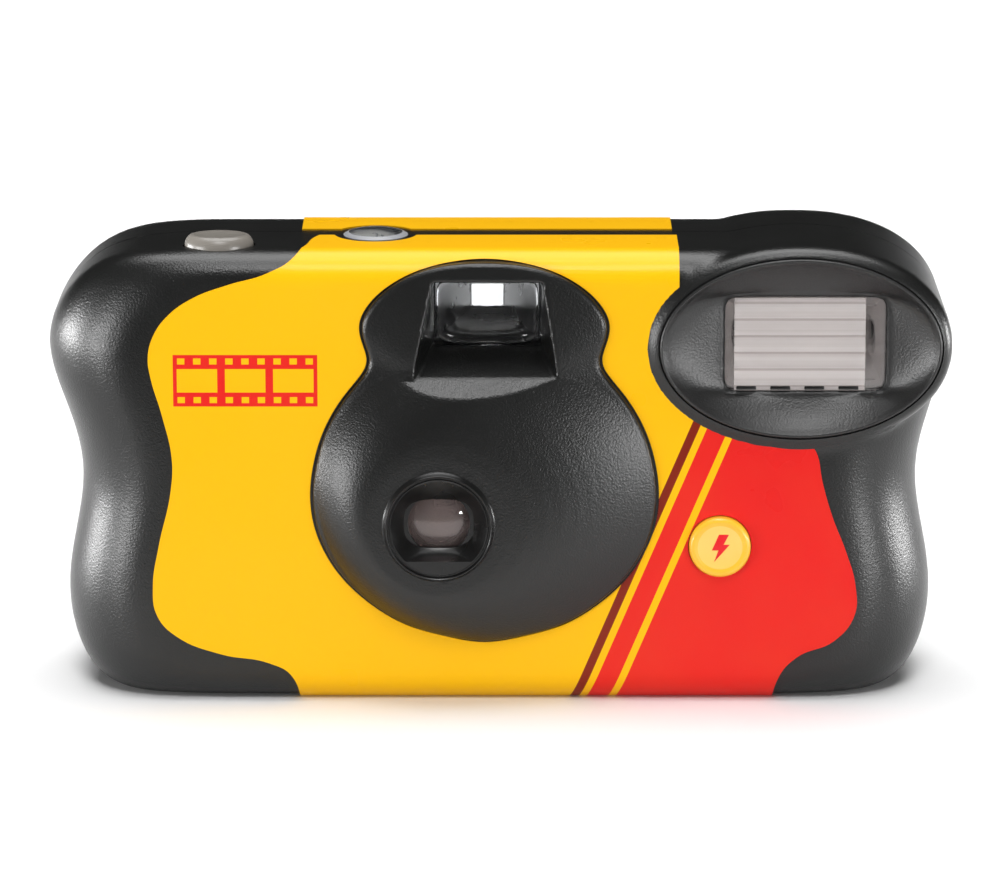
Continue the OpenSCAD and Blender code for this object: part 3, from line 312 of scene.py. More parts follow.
def cover_outlines(top, side, base, inset, y_open, y_face):
    """Outlines from the seam to a face: top, side and base are how deep each edge rounds."""
    left = body_half(HALF_W, BODY_H, top, side, base, 0)
    right = body_half(HALF_W, BODY_H, top, side, base, 1)
    curve = closed_curve([(-x, z, d) for x, z, d in left] + right[::-1], 7)
    way = 1 if y_face < y_open else -1
    rings = [[(x, y_open, z) for x, z, d in curve]]
    for k in range(ROUND_STEPS + 1):
        c, s = cos(pi / 2 * k / ROUND_STEPS), sin(pi / 2 * k / ROUND_STEPS)
        ring = []
        for x, z, d in curve:
            fx, fz = x * (1 - inset / HALF_W), base + z * (BODY_H - top - base) / BODY_H
            ring.append((fx + (x - fx) * c, y_face + way * d * (1 - s), fz + (z - fz) * c))
        rings.append(ring)
    return rings


back_rings = cover_outlines(8, 10, 4, 11, SEAM_Y, BACK_Y)
front_rings = cover_outlines(4, 13, 4, 12.5, SEAM_Y, PANEL_Y)
camera_block = sweep("camera_block", back_rings[:0:-1] + front_rings)


def squared(cx, cz, a, b, power, y, count):
    """Upright oval with squared corners: power 2 is a plain oval, a higher one is squarer."""
    ring = []
    for t in (-pi / 2 - 2 * pi * i / count for i in range(count)):
        c, s = cos(t), sin(t)
        k = (abs(c / a) ** power + abs(s / b) ** power) ** (-1 / power)
        ring.append((cx + k * c, y, cz + k * s))
    return ring


def hump_ring(a, b, y, power=2.25):
    """A slightly squared oval round the middle of the flash."""
    return [(FLASH_X + a * x, y, FLASH_Z + b * z) for x, _, z in squared(0, 0, 1, 1, power, y, 96)]


HUMP_BACK, HUMP_ROLL, TAPER_A, TAPER_B = BACK_Y - 0.4, 6, 7, 6
hump_rings = [hump_ring(HUMP_A - TAPER_A * (1 - cos(t)), HUMP_B - TAPER_B * (1 - cos(t)),
                        HUMP_BACK - HUMP_ROLL * (1 - sin(t)))
              for t in (radians(d) for d in (90, 78, 66, 54, 42, 30, 15, 0))]
hump_rings += [hump_ring(HUMP_A, HUMP_B, BEZEL_Y + 1.6, 2.1),
               oval(FLASH_X, FLASH_Z, HUMP_A - 0.4, HUMP_B - 0.4, BEZEL_Y + 0.5, 96),
               oval(FLASH_X, FLASH_Z, HUMP_A - 1.1, HUMP_B - 1.1, BEZEL_Y, 96)]
flash_hump = sweep("flash_hump", hump_rings)
soften(join([camera_block, flash_hump]), 0.6, 10)
tell(camera_block)

# %% [markdown]
# ## Parting the covers
# The block is bisected twice, a hair to each side of the seam, which leaves the fine dark joint of
# two mouldings. Each half is an open skin, and Solidify gives it the wall that a moulded cover has.

# %% Front and rear shells
SEAM_GAP = 0.07


def half_of(name, y, keep_front):
    """One cover: a copy of the block, cut at a depth and given a wall."""
    pick(camera_block)
    bpy.ops.object.duplicate()
    piece = bpy.context.object
    piece.name = piece.data.name = name
    bpy.ops.object.mode_set(mode="EDIT")
    bpy.ops.mesh.select_all(action="SELECT")
    bpy.ops.mesh.bisect(plane_co=(0, y * MM, 0), plane_no=(0, 1, 0),
                        clear_outer=keep_front, clear_inner=not keep_front)
    bpy.ops.object.mode_set(mode="OBJECT")
    return finish_with(piece, "SOLIDIFY", thickness=WALL * MM, offset=-1, use_rim=True)


front_shell = half_of("front_shell", SEAM_Y - SEAM_GAP, True)
rear_shell = half_of("rear_shell", SEAM_Y + SEAM_GAP, False)
bpy.data.objects.remove(camera_block)
tell(front_shell, rear_shell)

# %% [markdown]
# ## The domed lens surround
# The surround is a low pillow with a keyhole outline, and out of it rises a wide dome for the lens.
# Both are lofts. The outlines of the dome start as a wide oval at its foot and end as a small flat
# circle round the lens, which sits low and left of the middle, so the left flank is the steep one.
# Then the form is carved as a toolmaker would, with a funnel for the finder and a slanted cut under
# it that leaves a flat crescent on the dome. Remeshing rounds every carved edge a little.

# %% Pillow and dome
KEY_HALF = [(5, 8.9), (10.2, 10.2), (15, 13.4), (18.5, 16.8), (20.8, 20.6), (22.1, 24.4),
            (22.4, 28.9), (21.4, 34.1), (19.8, 38), (17.6, 41.4), (14.9, 44.4), (14.7, 46.2),
            (15.5, 48.1), (16.1, 50.8), (13.9, 54.2), (10, 56.9), (5.4, 58.3)]
KEY_LOW, KEY_HIGH, KEY_MID = 8.0, 58.6, 40.0
DOME_A, DOME_B, DOME_BULGE, LOBE_SWELL = 21.9, 19.9, 1.8, 1.4
COLLAR_R, COLLAR_Y = 9.2, NOSE_Y + 0.75
key_cage = ([(DOME_X, KEY_LOW)] + [(DOME_X - x, z) for x, z in KEY_HALF]
            + [(DOME_X, KEY_HIGH)] + [(DOME_X + x, z) for x, z in KEY_HALF[::-1]])
key_curve = closed_curve(key_cage, 4)


def key_ring(share, y):
    """The keyhole outline drawn in by a share towards its middle."""
    return [(DOME_X + (x - DOME_X) * share, y, KEY_MID + (z - KEY_MID) * share) for x, z in key_curve]


def dome_ring(step, y):
    """An outline of the dome: step 0 is the oval at its foot, step 1 the circle round the lens."""
    return oval(DOME_X + (LENS_X - DOME_X) * step, DOME_Z + (LENS_Z - DOME_Z) * step,
                DOME_A + (COLLAR_R - DOME_A) * step, DOME_B + (COLLAR_R - DOME_B) * step, y, 120)


rise = PANEL_Y - DOME_EDGE
SHARES = [0.975, 0.93, 0.86, 0.78, 0.7, 0.6, 0.5, 0.4, 0.3, 0.2, 0.1, 0.03]
pillow = [key_ring(1, PANEL_Y + WALL), key_ring(1, rise + 0.3), key_ring(0.993, rise + 0.08)]
pillow += [key_ring(k, rise - LOBE_SWELL * (1 - k ** 2.2)) for k in SHARES]
lens_dome = sweep("lens_dome", pillow)
swell = [dome_ring(0.04, PANEL_Y + WALL)]
swell += [dome_ring(step, rise + (COLLAR_Y - rise) * (1 - (1 - step) ** DOME_BULGE))
          for step in (0, 0.03, 0.07, 0.12, 0.18, 0.25, 0.33, 0.42, 0.52, 0.63, 0.75, 0.88, 1)]
carve(lens_dome, sweep("dome_swell", swell), way="UNION")
tell(lens_dome)

# %% [markdown]
# ### Carving the dome
# Behind the lens the moulding is hollow, so a round pocket is cut from the back. A box is welded on
# for the tunnel of the finder before the funnel is cut through it, so that the funnel has walls. The
# bore for the lens is cut last.

# %% Pocket, finder box, funnel, crescent and bore
CHORD_Y, CHORD_Z, CHORD_SLOPE = -14.9, 43.7, 0.71
pocket = rod("pocket", 12.3, 5.4, (LENS_X + 1.5, COLLAR_Y + 4.1, LENS_Z + 0.2), "Y", 96)
carve(lens_dome, pocket)
finder_box = block("finder_box", FINDER_X - 8.9, FINDER_X + 8.7, PANEL_Y - 0.6, FINDER_Y,
                   FINDER_Z - 7, FINDER_Z + 5.3)
carve(lens_dome, finder_box, way="UNION")
back, far = FINDER_Y + 0.01, CHORD_Y - 6
funnel = [[(-8.3, back, 47), (-8.3, back, 55.6), (5.3, back, 55.6), (5.3, back, 47)],
          [(-11.1, CHORD_Y, CHORD_Z), (-8.6, CHORD_Y, 56.1), (5.7, CHORD_Y, 56.1),
           (7.5, CHORD_Y, CHORD_Z)],
          [(-11.4, far, CHORD_Z), (-9, far, 56.9), (6.1, far, 56.9), (7.8, far, CHORD_Z)]]
crescent = sweep("crescent", [[(x, CHORD_Y, CHORD_Z), (x, CHORD_Y - 6 * CHORD_SLOPE, CHORD_Z - 6),
                               (x, CHORD_Y - 8, CHORD_Z - 6), (x, CHORD_Y - 8, CHORD_Z)]
                              for x in (DOME_X - 16, DOME_X + 16)])
bore = rod("bore", 6.6, 20, (LENS_X, COLLAR_Y, LENS_Z), "Y", 96)
carve(lens_dome, sweep("funnel", funnel), crescent, bore)
soften(lens_dome, 0.25, 3)
smooth(lens_dome, 60)
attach(lens_dome, "camera")
tell(lens_dome)

# %% [markdown]
# ## The ring round the lens
# The ring is a separate turned form with a thin sharp lip, a fine groove inside it and a funnel down
# to the small window of the lens. The foot of the funnel is filled by a level shelf. It is one
# loft: circles at the lip, which turn into a rounded rectangle at the window; points that would
# fall below the shelf are lifted onto it.

# %% Lip, groove, funnel and shelf
RING_STEPS, SHELF = 120, 4.5
WINDOW_W, WINDOW_H, WINDOW_Y = 9.0, 6.5, LENS_Y - 0.5


def ring_circle(r, y):
    """A circle round the lens."""
    return oval(LENS_X, LENS_Z, r, r, y, RING_STEPS)


def window_ring(y):
    """The rounded rectangle of the lens window."""
    return squared(LENS_X, LENS_Z, WINDOW_W / 2, WINDOW_H / 2, 3, y, RING_STEPS)


def between(one, two, share, y):
    """An outline part of the way from one to another."""
    return [(p[0] + (q[0] - p[0]) * share, y, p[2] + (q[2] - p[2]) * share) for p, q in zip(one, two)]


shelf_front, shelf_back = LENS_Z - SHELF, LENS_Z - SHELF + 0.7
mouth = [(x, y, max(z, shelf_front)) for x, y, z in ring_circle(6.2, COLLAR_Y - 0.35)]
window = window_ring(WINDOW_Y)
LIP = [(6.5, COLLAR_Y + 0.6), (7.3, COLLAR_Y + 0.3), (7.3, COLLAR_Y - 0.02), (7.08, COLLAR_Y - 0.2),
       (6.95, NOSE_Y + 0.1), (6.88, NOSE_Y + 0.01), (6.78, NOSE_Y), (6.7, NOSE_Y + 0.06),
       (6.62, COLLAR_Y - 0.2), (6.42, COLLAR_Y - 0.2), (6.34, COLLAR_Y - 0.35)]
rings = [ring_circle(r, y) for r, y in LIP] + [mouth]
for k in (0.04, 0.25, 0.5, 0.75, 0.97, 1):
    y = COLLAR_Y - 0.35 + (WINDOW_Y - COLLAR_Y + 0.35) * k
    low = shelf_front + (shelf_back - shelf_front) * k
    rings.append([(x, y, max(z, low)) for x, y, z in between(ring_circle(6.2, 0), window, k, y)])
rings += [window_ring(WINDOW_Y + 0.3), ring_circle(6.5, WINDOW_Y + 0.3), rings[0]]
lens_ring = smooth(sweep("lens_ring", rings, joined=True), 40)
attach(lens_ring, "camera")
tell(lens_ring)

# %% [markdown]
# ## The finder's front lens
# The lens is a clear moulding: a flange that is held in the tunnel, and a block on it with rounded
# corners. Front and back are hollow, as in every lens that makes the scene look smaller, and so the
# bright eyepiece behind it looks smaller too. The block is a loft of rounded rectangles laid on two
# dishes; they roll over at the edge, because it is that rolled edge which shows as a bright line.

# %% Flange and hollow block
LENS_MID_Z, BLOCK_W, BLOCK_H, DISH_R = 51.4, 13.2, 8.6, 30.0


def rounded(w, h, power, y, bend=0):
    """A rounded rectangle; bend 1 or -1 lays it on a dish hollow to the front or to the back."""
    return [(FINDER_X + x, y - bend * (x * x + z * z) / (2 * DISH_R), LENS_MID_Z + z)
            for x, _, z in squared(0, 0, w / 2, h / 2, power, y, 72)]


DISH = (0.08, 0.25, 0.42, 0.58, 0.72, 0.84, 0.93, 1)
block_rings = [rounded(11.2 * k, 7.2 * k, 2 + 3 * k, FINDER_Y + 1.04, -1) for k in DISH]
block_rings += [rounded(16.6, 9.8, 9, FINDER_Y + 1.8), rounded(16.6, 9.8, 9, FINDER_Y + 1.0),
                rounded(BLOCK_W, BLOCK_H, 6, FINDER_Y + 0.95),
                rounded(BLOCK_W, BLOCK_H, 6, FINDER_Y + 0.5, 1),
                rounded(BLOCK_W - 0.15, BLOCK_H - 0.15, 6, FINDER_Y + 0.28, 1),
                rounded(BLOCK_W - 0.45, BLOCK_H - 0.45, 5.5, FINDER_Y + 0.14, 1)]
block_rings += [rounded((BLOCK_W - 0.9) * k, (BLOCK_H - 0.9) * k, 2 + 3 * k, FINDER_Y + 0.1, 1)
                for k in DISH[::-1]]
finder_lens = smooth(sweep("finder_lens", block_rings), 40)
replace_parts(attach(finder_lens, "camera"), "finder_front_lens")
tell(finder_lens)

# %% [markdown]
# ## The flash bezel
# The oval rim of the flash stands a little proud of the front, and a dish runs from it down to the
# window. Rim and dish are one loft: ovals for the outer wall and the rim, which turn into a rounded
# rectangle as the dish nears the window.

# %% Rim and dish
BEZEL_STEPS = 96


def pane_ring(grow, y):
    """Rounded rectangle of the window, with as many points as the ovals."""
    return squared(PANE_X, FLASH_Z, PANE_W / 2 + grow, PANE_H / 2 + grow, 12, y, BEZEL_STEPS)


def bezel_ring(inset, y):
    """The oval of the rim, drawn in by an inset."""
    return oval(FLASH_X, FLASH_Z, BEZEL_A - inset, BEZEL_B - inset, y, BEZEL_STEPS)


dish_in, dish_out = pane_ring(0.5, PANE_Y), bezel_ring(1.4, BEZEL_Y)
dish = [between(dish_in, dish_out, s, PANE_Y + (BEZEL_Y + 0.3 - PANE_Y) * (0.75 * s + 0.25 * s ** 3))
        for s in (0, 0.12, 0.3, 0.5, 0.7, 0.86, 0.96)]
RIM = [(1.36, 0.1), (1.26, 0.02), (1.12, 0), (0.98, 0.06), (0.86, 0.22), (0.5, 0.8), (0.15, 1.6),
       (0, 2.4), (-0.02, 3), (1.3, 3.2)]
bezel_rings = [pane_ring(0, PANE_Y + 1.5), pane_ring(0, PANE_Y + 0.25), pane_ring(0.15, PANE_Y + 0.05)]
bezel_rings += dish + [bezel_ring(inset, BEZEL_Y + behind) for inset, behind in RIM]
bezel_rings += [pane_ring(2, PANE_Y + 1.5), pane_ring(0, PANE_Y + 1.5)]
flash_bezel = smooth(sweep("flash_bezel", bezel_rings, joined=True), 50)
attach(flash_bezel, "camera")
tell(flash_bezel)

# %% [markdown]
# ## Openings in the covers
# Now the front shell gets its openings: under the dome, behind the flash bezel, and for the charge
# button, the shutter button and the counter window. The rear shell gets the thumbwheel slot with
# bevelled lips, the eyepiece recess and the hole of the ready lamp.

# %% Carving the shells
def lying_oval(x, y, a, b, z):
    """Level oval of points at one height."""
    return [(x + a * cos(t), y + b * sin(t), z) for t in (2 * pi * i / 64 for i in range(64))]


under_dome = sweep("under_dome", [key_ring(0.92, y) for y in (PANEL_Y + 4, PANEL_Y - 3)])
behind_bezel = sweep("behind_bezel", [oval(FLASH_X, FLASH_Z, BEZEL_A - 0.7, BEZEL_B - 0.7, y, 96)
                                      for y in (PANEL_Y + 2.2, PANEL_Y - 4)])
carve(front_shell, under_dome, behind_bezel,
      rod("charge_hole", CHARGE_R + 0.15, 6, (CHARGE_X, PANEL_Y, CHARGE_Z), "Y"),
      sweep("key_hole", [lying_oval(KEY_X, KEY_Y, KEY_A + 0.25, KEY_B + 0.25, z)
                         for z in (BODY_H - 4, BODY_H + 4)]),
      rod("dial_hole", DIAL_R + 0.1, 8, (DIAL_X, DIAL_Y, BODY_H)))
smooth(front_shell, 40)
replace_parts(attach(front_shell, "camera"), "front_cover")

wheel_top = WHEEL_Z + WHEEL_T
slot_hole = block("slot_hole", WHEEL_X - 10.4, WHEEL_X + 10.4, WHEEL_Y + 6, BACK_Y + 2,
                  WHEEL_Z - 0.5, wheel_top + 0.5)
LIPS = ((12, BACK_Y + 0.7, WHEEL_Z - 2, wheel_top + 2.6),
        (10, BACK_Y - 2.4, WHEEL_Z - 0.2, wheel_top + 0.2))
slot_lips = sweep("slot_lips", [[(WHEEL_X - w, y, z0), (WHEEL_X - w, y, z1), (WHEEL_X + w, y, z1),
                                 (WHEEL_X + w, y, z0)] for w, y, z0, z1 in LIPS])
eye_hole = flare("eye_hole", (FINDER_X, EYE_Z, EYE_W + 4.6, EYE_H + 3.4, BACK_Y + 0.5),
                 (FINDER_X, EYE_Z, EYE_W - 1.2, EYE_H - 0.8, BACK_Y - 2))
carve(rear_shell, slot_hole, slot_lips, eye_hole,
      rod("lamp_hole", 2.35, 6, (LAMP_X, BACK_Y, LAMP_Z), "Y"),
      rod("dial_hole", DIAL_R + 0.1, 8, (DIAL_X, DIAL_Y, BODY_H)))
smooth(rear_shell, 40)
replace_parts(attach(rear_shell, "camera"), "rear_cover")
tell(front_shell, rear_shell)

# %% [markdown]
# ## The printed labels
# The front label is one sheet of glossy printed film. It covers the flat front between the grips,
# bends over the top front edge to the seam and under the bottom edge. It is drawn flat first, as a
# printer would cut it, filled, sliced where it has to bend, and then rolled round the edges.
# Solidify gives it the thickness of a sticker, and the openings are punched last.

# %% Drawing and rolling a label
FRONT_ROLL, REAR_ROLL, FILM_T = 4.0, 8.0, 0.2
FRONT_STOP, REAR_STOP = 3.2, 0.6


def sheet_of(name, outline, corners, slices):
    """A flat filled sheet: outline points in mm, those listed in corners kept sharp."""
    clear()
    line = bpy.data.curves.new(name, "CURVE")
    line.dimensions, line.fill_mode, line.resolution_u = "2D", "BOTH", 8
    path = line.splines.new("BEZIER")
    path.bezier_points.add(len(outline) - 1)
    path.use_cyclic_u = True
    for i, (knot, (x, v)) in enumerate(zip(path.bezier_points, outline)):
        knot.co = (x * MM, v * MM, 0)
        knot.handle_left_type = knot.handle_right_type = "VECTOR" if i in corners else "AUTO"
    piece = bpy.data.objects.new(name, line)
    bpy.context.scene.collection.objects.link(piece)
    pick(piece)
    bpy.ops.object.convert(target="MESH")
    bpy.ops.object.mode_set(mode="EDIT")
    for v in slices:
        bpy.ops.mesh.select_all(action="SELECT")
        bpy.ops.mesh.bisect(plane_co=(0, v * MM, 0), plane_no=(0, 1, 0))
    bpy.ops.mesh.select_all(action="SELECT")
    bpy.ops.mesh.remove_doubles(threshold=1e-6)
    bpy.ops.object.mode_set(mode="OBJECT")
    return piece


def rolled(x, v, r, face, way):
    """Where a point of a flat label lands: v runs up the face and over edges of radius r."""
    high, edge = BODY_H - r, face + way * r
    if r <= v <= high:
        return (x, face, v)
    t = (r - v) / r if v < r else (v - high) / r
    if t >= pi / 2:
        return (x, edge + way * (t - pi / 2) * r, BODY_H)
    z = r - r * sin(t) if v < r else high + r * sin(t)
    return (x, edge - way * r * cos(t), z)


def roll(piece, r, face, way):
    """Roll a flat sheet round the body; way is 1 on the front and -1 on the back."""
    for vert in piece.data.vertices:
        vert.co = Vector(rolled(vert.co.x / MM, vert.co.y / MM, r, face, way)) * MM
    pick(piece)
    bpy.ops.object.mode_set(mode="EDIT")
    bpy.ops.mesh.select_all(action="SELECT")
    bpy.ops.mesh.normals_make_consistent(inside=False)
    tilt = sum(face.normal.y * face.calc_area() for face in bmesh.from_edit_mesh(piece.data).faces)
    if tilt * way > 0:
        bpy.ops.mesh.flip_normals()
    bpy.ops.object.mode_set(mode="OBJECT")
    return finish_with(piece, "SOLIDIFY", thickness=FILM_T * MM, offset=1, use_even_offset=True)


print("label film mm:", FILM_T, "rolled round edges of", FRONT_ROLL, "and", REAR_ROLL)

# %% [markdown]
# ### The front label
# Its edge is a long S on both sides, drawn as a smooth line through points, with sharp corners where
# it meets the seam, the underside and the bezel. The hole for the dome is cut a little large, so that
# the label never rides up on the moulding.

# %% Front label
LABEL_TUCK, DOME_GAP = 1.42, 0.35
front_top = (BODY_H - FRONT_ROLL + FRONT_ROLL * pi / 2
             + (SEAM_Y - SEAM_GAP - FRONT_STOP - PANEL_Y - FRONT_ROLL))
front_foot = FRONT_ROLL - FRONT_ROLL * LABEL_TUCK
LABEL_EDGE = [(-23.4, front_top), (-24.2, 67.6), (-25.1, 62.6), (-26.6, 59), (-29.6, 57.1), (-35, 55.5),
              (-39.4, 53.8), (-42.7, 51.4), (-44.6, 48.6), (-45.2, 46), (-44.9, 43.4), (-43.5, 38.4),
              (-42.3, 32.6), (-42.5, 28.4), (-44.2, 20.8), (-45, 15.6), (-44.5, 11.6), (-42, 8.8),
              (-36.2, 6.4), (-30, 5.2), (-27, 3.4), (-25.9, front_foot), (35.6, front_foot), (36.4, 3.2),
              (38.8, 6), (43.6, 8.2), (46.2, 11.6), (46.3, 15.6), (45, 20.2), (43.2, 24.8), (41.8, 29.6),
              (41, 33.4), (40.2, 34.6), (30, 38), (23.1, 44), (23.1, front_top)]
bends = [BODY_H - FRONT_ROLL + FRONT_ROLL * pi / 2 * k / 12 for k in range(13)]
bends += [FRONT_ROLL - FRONT_ROLL * LABEL_TUCK * k / 10 for k in range(10)]
front_sheet = sheet_of("front_print", LABEL_EDGE, {0, 21, 22, 32, 33, 34, 35}, bends)
front_print = roll(front_sheet, FRONT_ROLL, PANEL_Y, 1)
dome_gap = closed_curve([(DOME_X, KEY_LOW - DOME_GAP)] + [(DOME_X - x - DOME_GAP, z) for x, z in KEY_HALF]
                        + [(DOME_X, KEY_HIGH + DOME_GAP)]
                        + [(DOME_X + x + DOME_GAP, z) for x, z in KEY_HALF[::-1]], 6)
carve(front_print,
      sweep("dome_punch", [[(x, y, z) for x, z in dome_gap] for y in (PANEL_Y + 3.2, PANEL_Y - 2)]),
      sweep("bezel_punch", [oval(FLASH_X, FLASH_Z, BEZEL_A + 0.5, BEZEL_B + 0.5, y, 96)
                            for y in (PANEL_Y + 6, PANEL_Y - 4)]),
      rod("charge_punch", CHARGE_R + 0.12, 6, (CHARGE_X, PANEL_Y, CHARGE_Z), "Y"),
      rod("dial_punch", DIAL_R + 1.2, 8, (DIAL_X, DIAL_Y, BODY_H)))
smooth(front_print, 35)
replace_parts(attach(front_print, "camera"), "front_label")
tell(front_print)

# %% [markdown]
# ### The rear label
# The second label starts behind the seam, runs over the rounder back edge and down the back. It is a
# plain band with two rounded corners, punched for the eyepiece, the ready lamp and the counter.

# %% Rear label
rear_top = (BODY_H - REAR_ROLL + REAR_ROLL * pi / 2
            + (BACK_Y - REAR_ROLL - SEAM_Y - SEAM_GAP - REAR_STOP))
rear_edge = [(-25.8, rear_top), (-25.8, 11.5), (-25.07, 9.73), (-23.3, 9),
             (20.1, 9), (21.87, 9.73), (22.6, 11.5), (22.6, rear_top)]
bends = [BODY_H - REAR_ROLL + REAR_ROLL * pi / 2 * k / 14 for k in range(15)]
rear_sheet = sheet_of("rear_print", rear_edge, {0, 1, 3, 4, 6, 7}, bends)
rear_print = roll(rear_sheet, REAR_ROLL, BACK_Y, -1)
carve(rear_print,
      block("eye_punch", FINDER_X - EYE_W / 2 - 3, FINDER_X + EYE_W / 2 + 3, BACK_Y - 4, BACK_Y + 2,
            EYE_Z - EYE_H / 2 - 2.4, EYE_Z + EYE_H / 2 + 2.6),
      rod("lamp_punch", 3.4, 6, (LAMP_X, BACK_Y, LAMP_Z), "Y"),
      rod("dial_punch", DIAL_R + 1.2, 8, (DIAL_X, DIAL_Y, BODY_H)))
smooth(rear_print, 35)
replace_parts(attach(rear_print, "camera"), "rear_label")
tell(rear_print)

# %% [markdown]
# ## The shutter button
# The button is an oval key with a rounded edge and a shallow dish for the finger, and a stem under it
# that presses the release lever. Like the other small mouldings it is a loft of rings, so that its
# edge rolls over as a moulding does.

# %% Shutter button
key_top = BODY_H + KEY_OUT
KEY_EDGE = [(0, 1.25), (0.06, 0.95), (0.2, 0.62), (0.42, 0.32), (0.7, 0.1), (1.0, 0), (1.25, 0.02),
            (1.6, 0.12), (2.4, 0.22), (3.2, 0.26)]
key_profile = [(-0.8, BODY_H - WALL - 1.3), (-0.8, BODY_H - WALL - 0.5), (0, BODY_H - WALL - 0.4)]
key_profile += [(inset, key_top - drop) for inset, drop in KEY_EDGE]
shutter_key = sweep("shutter_key", [lying_oval(KEY_X, KEY_Y, KEY_A - d, KEY_B - d, z)
                                    for d, z in key_profile])
key_stem = rod("key_stem", 1, 1.3, (KEY_X, KEY_Y + 0.7, BODY_H - WALL - 1.35))
smooth(join([shutter_key, key_stem]), 40)
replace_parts(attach(shutter_key, "release"), "shutter_button")
tell(shutter_key)

# %% [markdown]
# ## The charge button
# Pressing this disc charges the flash. A flange behind the front cover keeps it in, its rim is
# rounded, and the middle is a shallow dish with a raised bolt sign. The bolt is a flat outline swept
# a little way forward, with a fine bevel.

# %% Charge button and its bolt
charge_front = PANEL_Y - 1.2
charge_back = PANEL_Y + WALL
CHARGE_EDGE = [(0, 0.5), (0.1, 0.22), (0.32, 0.05), (0.6, 0), (0.85, 0.06), (1.1, 0.14)]
charge_profile = [(CHARGE_R + 0.8, charge_back + 0.8), (CHARGE_R + 0.8, charge_back + 0.1),
                  (CHARGE_R, charge_back)]
charge_profile += [(CHARGE_R - inset, charge_front + drop) for inset, drop in CHARGE_EDGE]
charge_profile += [(1.2, charge_front + 0.16)]
charge_key = sweep("charge_key", [oval(CHARGE_X, CHARGE_Z, r, r, y, 72) for r, y in charge_profile])
smooth(charge_key, 40)
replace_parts(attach(charge_key, "charge"), "charge_button")
BOLT = [(-0.15, 1.75), (1.15, 1.75), (0.45, 0.4), (1.25, 0.4), (-0.75, -1.9), (-0.2, -0.35), (-1.05, -0.35)]
charge_bolt = sweep("charge_bolt", [[(CHARGE_X + x, y, CHARGE_Z + z) for x, z in BOLT]
                                    for y in (charge_front + 0.22, charge_front + 0.1)])
finish_with(charge_bolt, "BEVEL", width=0.03 * MM, segments=2)
smooth(charge_bolt, 40)
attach(charge_bolt, "charge")
tell(charge_key, charge_bolt)

# %% [markdown]
# ## The counter
# A clear dome on the top magnifies the dial under it, which counts the pictures that are left. The
# dome is a loft of circles with a flange below. The numbers are text, turned into meshes and set
# round the dial, so they turn with it.

# %% Counter window and the numbers on the dial
GLASS_RISE = 1.0
dial_profile = [(DIAL_R + 0.9, BODY_H - WALL - 0.7), (DIAL_R + 0.9, BODY_H - WALL),
                (DIAL_R, BODY_H - WALL), (DIAL_R, BODY_H + 0.1)]
dial_profile += [(DIAL_R * sin(t), BODY_H - 0.1 + GLASS_RISE * cos(t))
                 for t in (radians(a) for a in range(78, 0, -8))]
counter_glass = sweep("counter_glass", [lying_oval(DIAL_X, DIAL_Y, r, r, z) for r, z in dial_profile])
smooth(counter_glass, 35)
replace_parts(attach(counter_glass, "camera"), "counter_window")
COUNT_X, COUNT_Y, COUNT_R = -17.8, -3.45, 4.3
FIGURE_TALL, FIRST_TURN, STEP_TURN = 1.9, 64, 36
dial_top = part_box("counter_wheel")[1].z
figures = []
for step, count in enumerate(range(27, -1, -3)):
    clear()
    bpy.ops.object.text_add()
    figure = bpy.context.object
    figure.data.body, figure.data.size = str(count), FIGURE_TALL * MM
    figure.data.align_x, figure.data.align_y = "CENTER", "CENTER"
    figure.data.extrude = 0.01 * MM
    bpy.ops.object.convert(target="MESH")
    turn = radians(FIRST_TURN - STEP_TURN * step)
    spot = Vector((COUNT_X * MM + COUNT_R * MM * cos(turn),
                   COUNT_Y * MM + COUNT_R * MM * sin(turn), dial_top + 0.012 * MM))
    figure.data.transform(Matrix.Translation(spot) @ Matrix.Rotation(turn - pi / 2, 4, "Z"))
    figures.append(figure)
dial_figures = join(figures)
dial_figures.name = "dial_figures"
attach(dial_figures, "counter")
tell(dial_figures)

# %% [markdown]
# ## The flash window
# The window is a clear tray: a front wall with a few broad level ribs that spread the light, and
# four side walls. The cross-section of the front is swept across the window's width, and the tray is
# then hollowed from behind, so that the walls show as bright and dark lines.

# %% Clear tray with ribs
RIBS, RIB_RISE, TRAY_WALL = 5, 0.24, 1.1
tray_low, tray_high = FLASH_Z - PANE_H / 2 + 0.1, FLASH_Z + PANE_H / 2 - 0.1
rib_line = []
for i in range(RIBS * 8 + 1):
    z = tray_low + 0.6 + (tray_high - tray_low - 1.2) * i / (RIBS * 8)
    rib_line.append((PANE_Y - 0.2 - RIB_RISE * abs(sin(pi * i / 8)), z))
pane_line = [(PANEL_Y + 3, tray_low), (PANE_Y - 0.05, tray_low), (PANE_Y - 0.2, tray_low + 0.2), *rib_line,
             (PANE_Y - 0.2, tray_high - 0.2), (PANE_Y - 0.05, tray_high), (PANEL_Y + 3, tray_high)]
flash_pane = sweep("flash_pane", [[(x, y, z) for y, z in pane_line]
                                  for x in (PANE_X - PANE_W / 2 + 0.1, PANE_X + PANE_W / 2 - 0.1)])
pane_foot = block("pane_foot", PANE_X - PANE_W / 2 - 1, PANE_X + PANE_W / 2 + 1,
                  PANEL_Y + 2.9, PANEL_Y + 3.8, FLASH_Z - PANE_H / 2 - 1, FLASH_Z + PANE_H / 2 + 1)
carve(flash_pane, pane_foot, way="UNION")
hollow_w, hollow_h = PANE_W - 2 * TRAY_WALL, PANE_H - 2 * TRAY_WALL
carve(flash_pane, flare("tray_hollow", (PANE_X, FLASH_Z, hollow_w - 0.4, hollow_h - 0.4, PANE_Y + 0.45),
                        (PANE_X, FLASH_Z, hollow_w, hollow_h, PANEL_Y + 5)))
smooth(flash_pane, 35)
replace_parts(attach(flash_pane, "camera"), "flash_window")
tell(flash_pane)

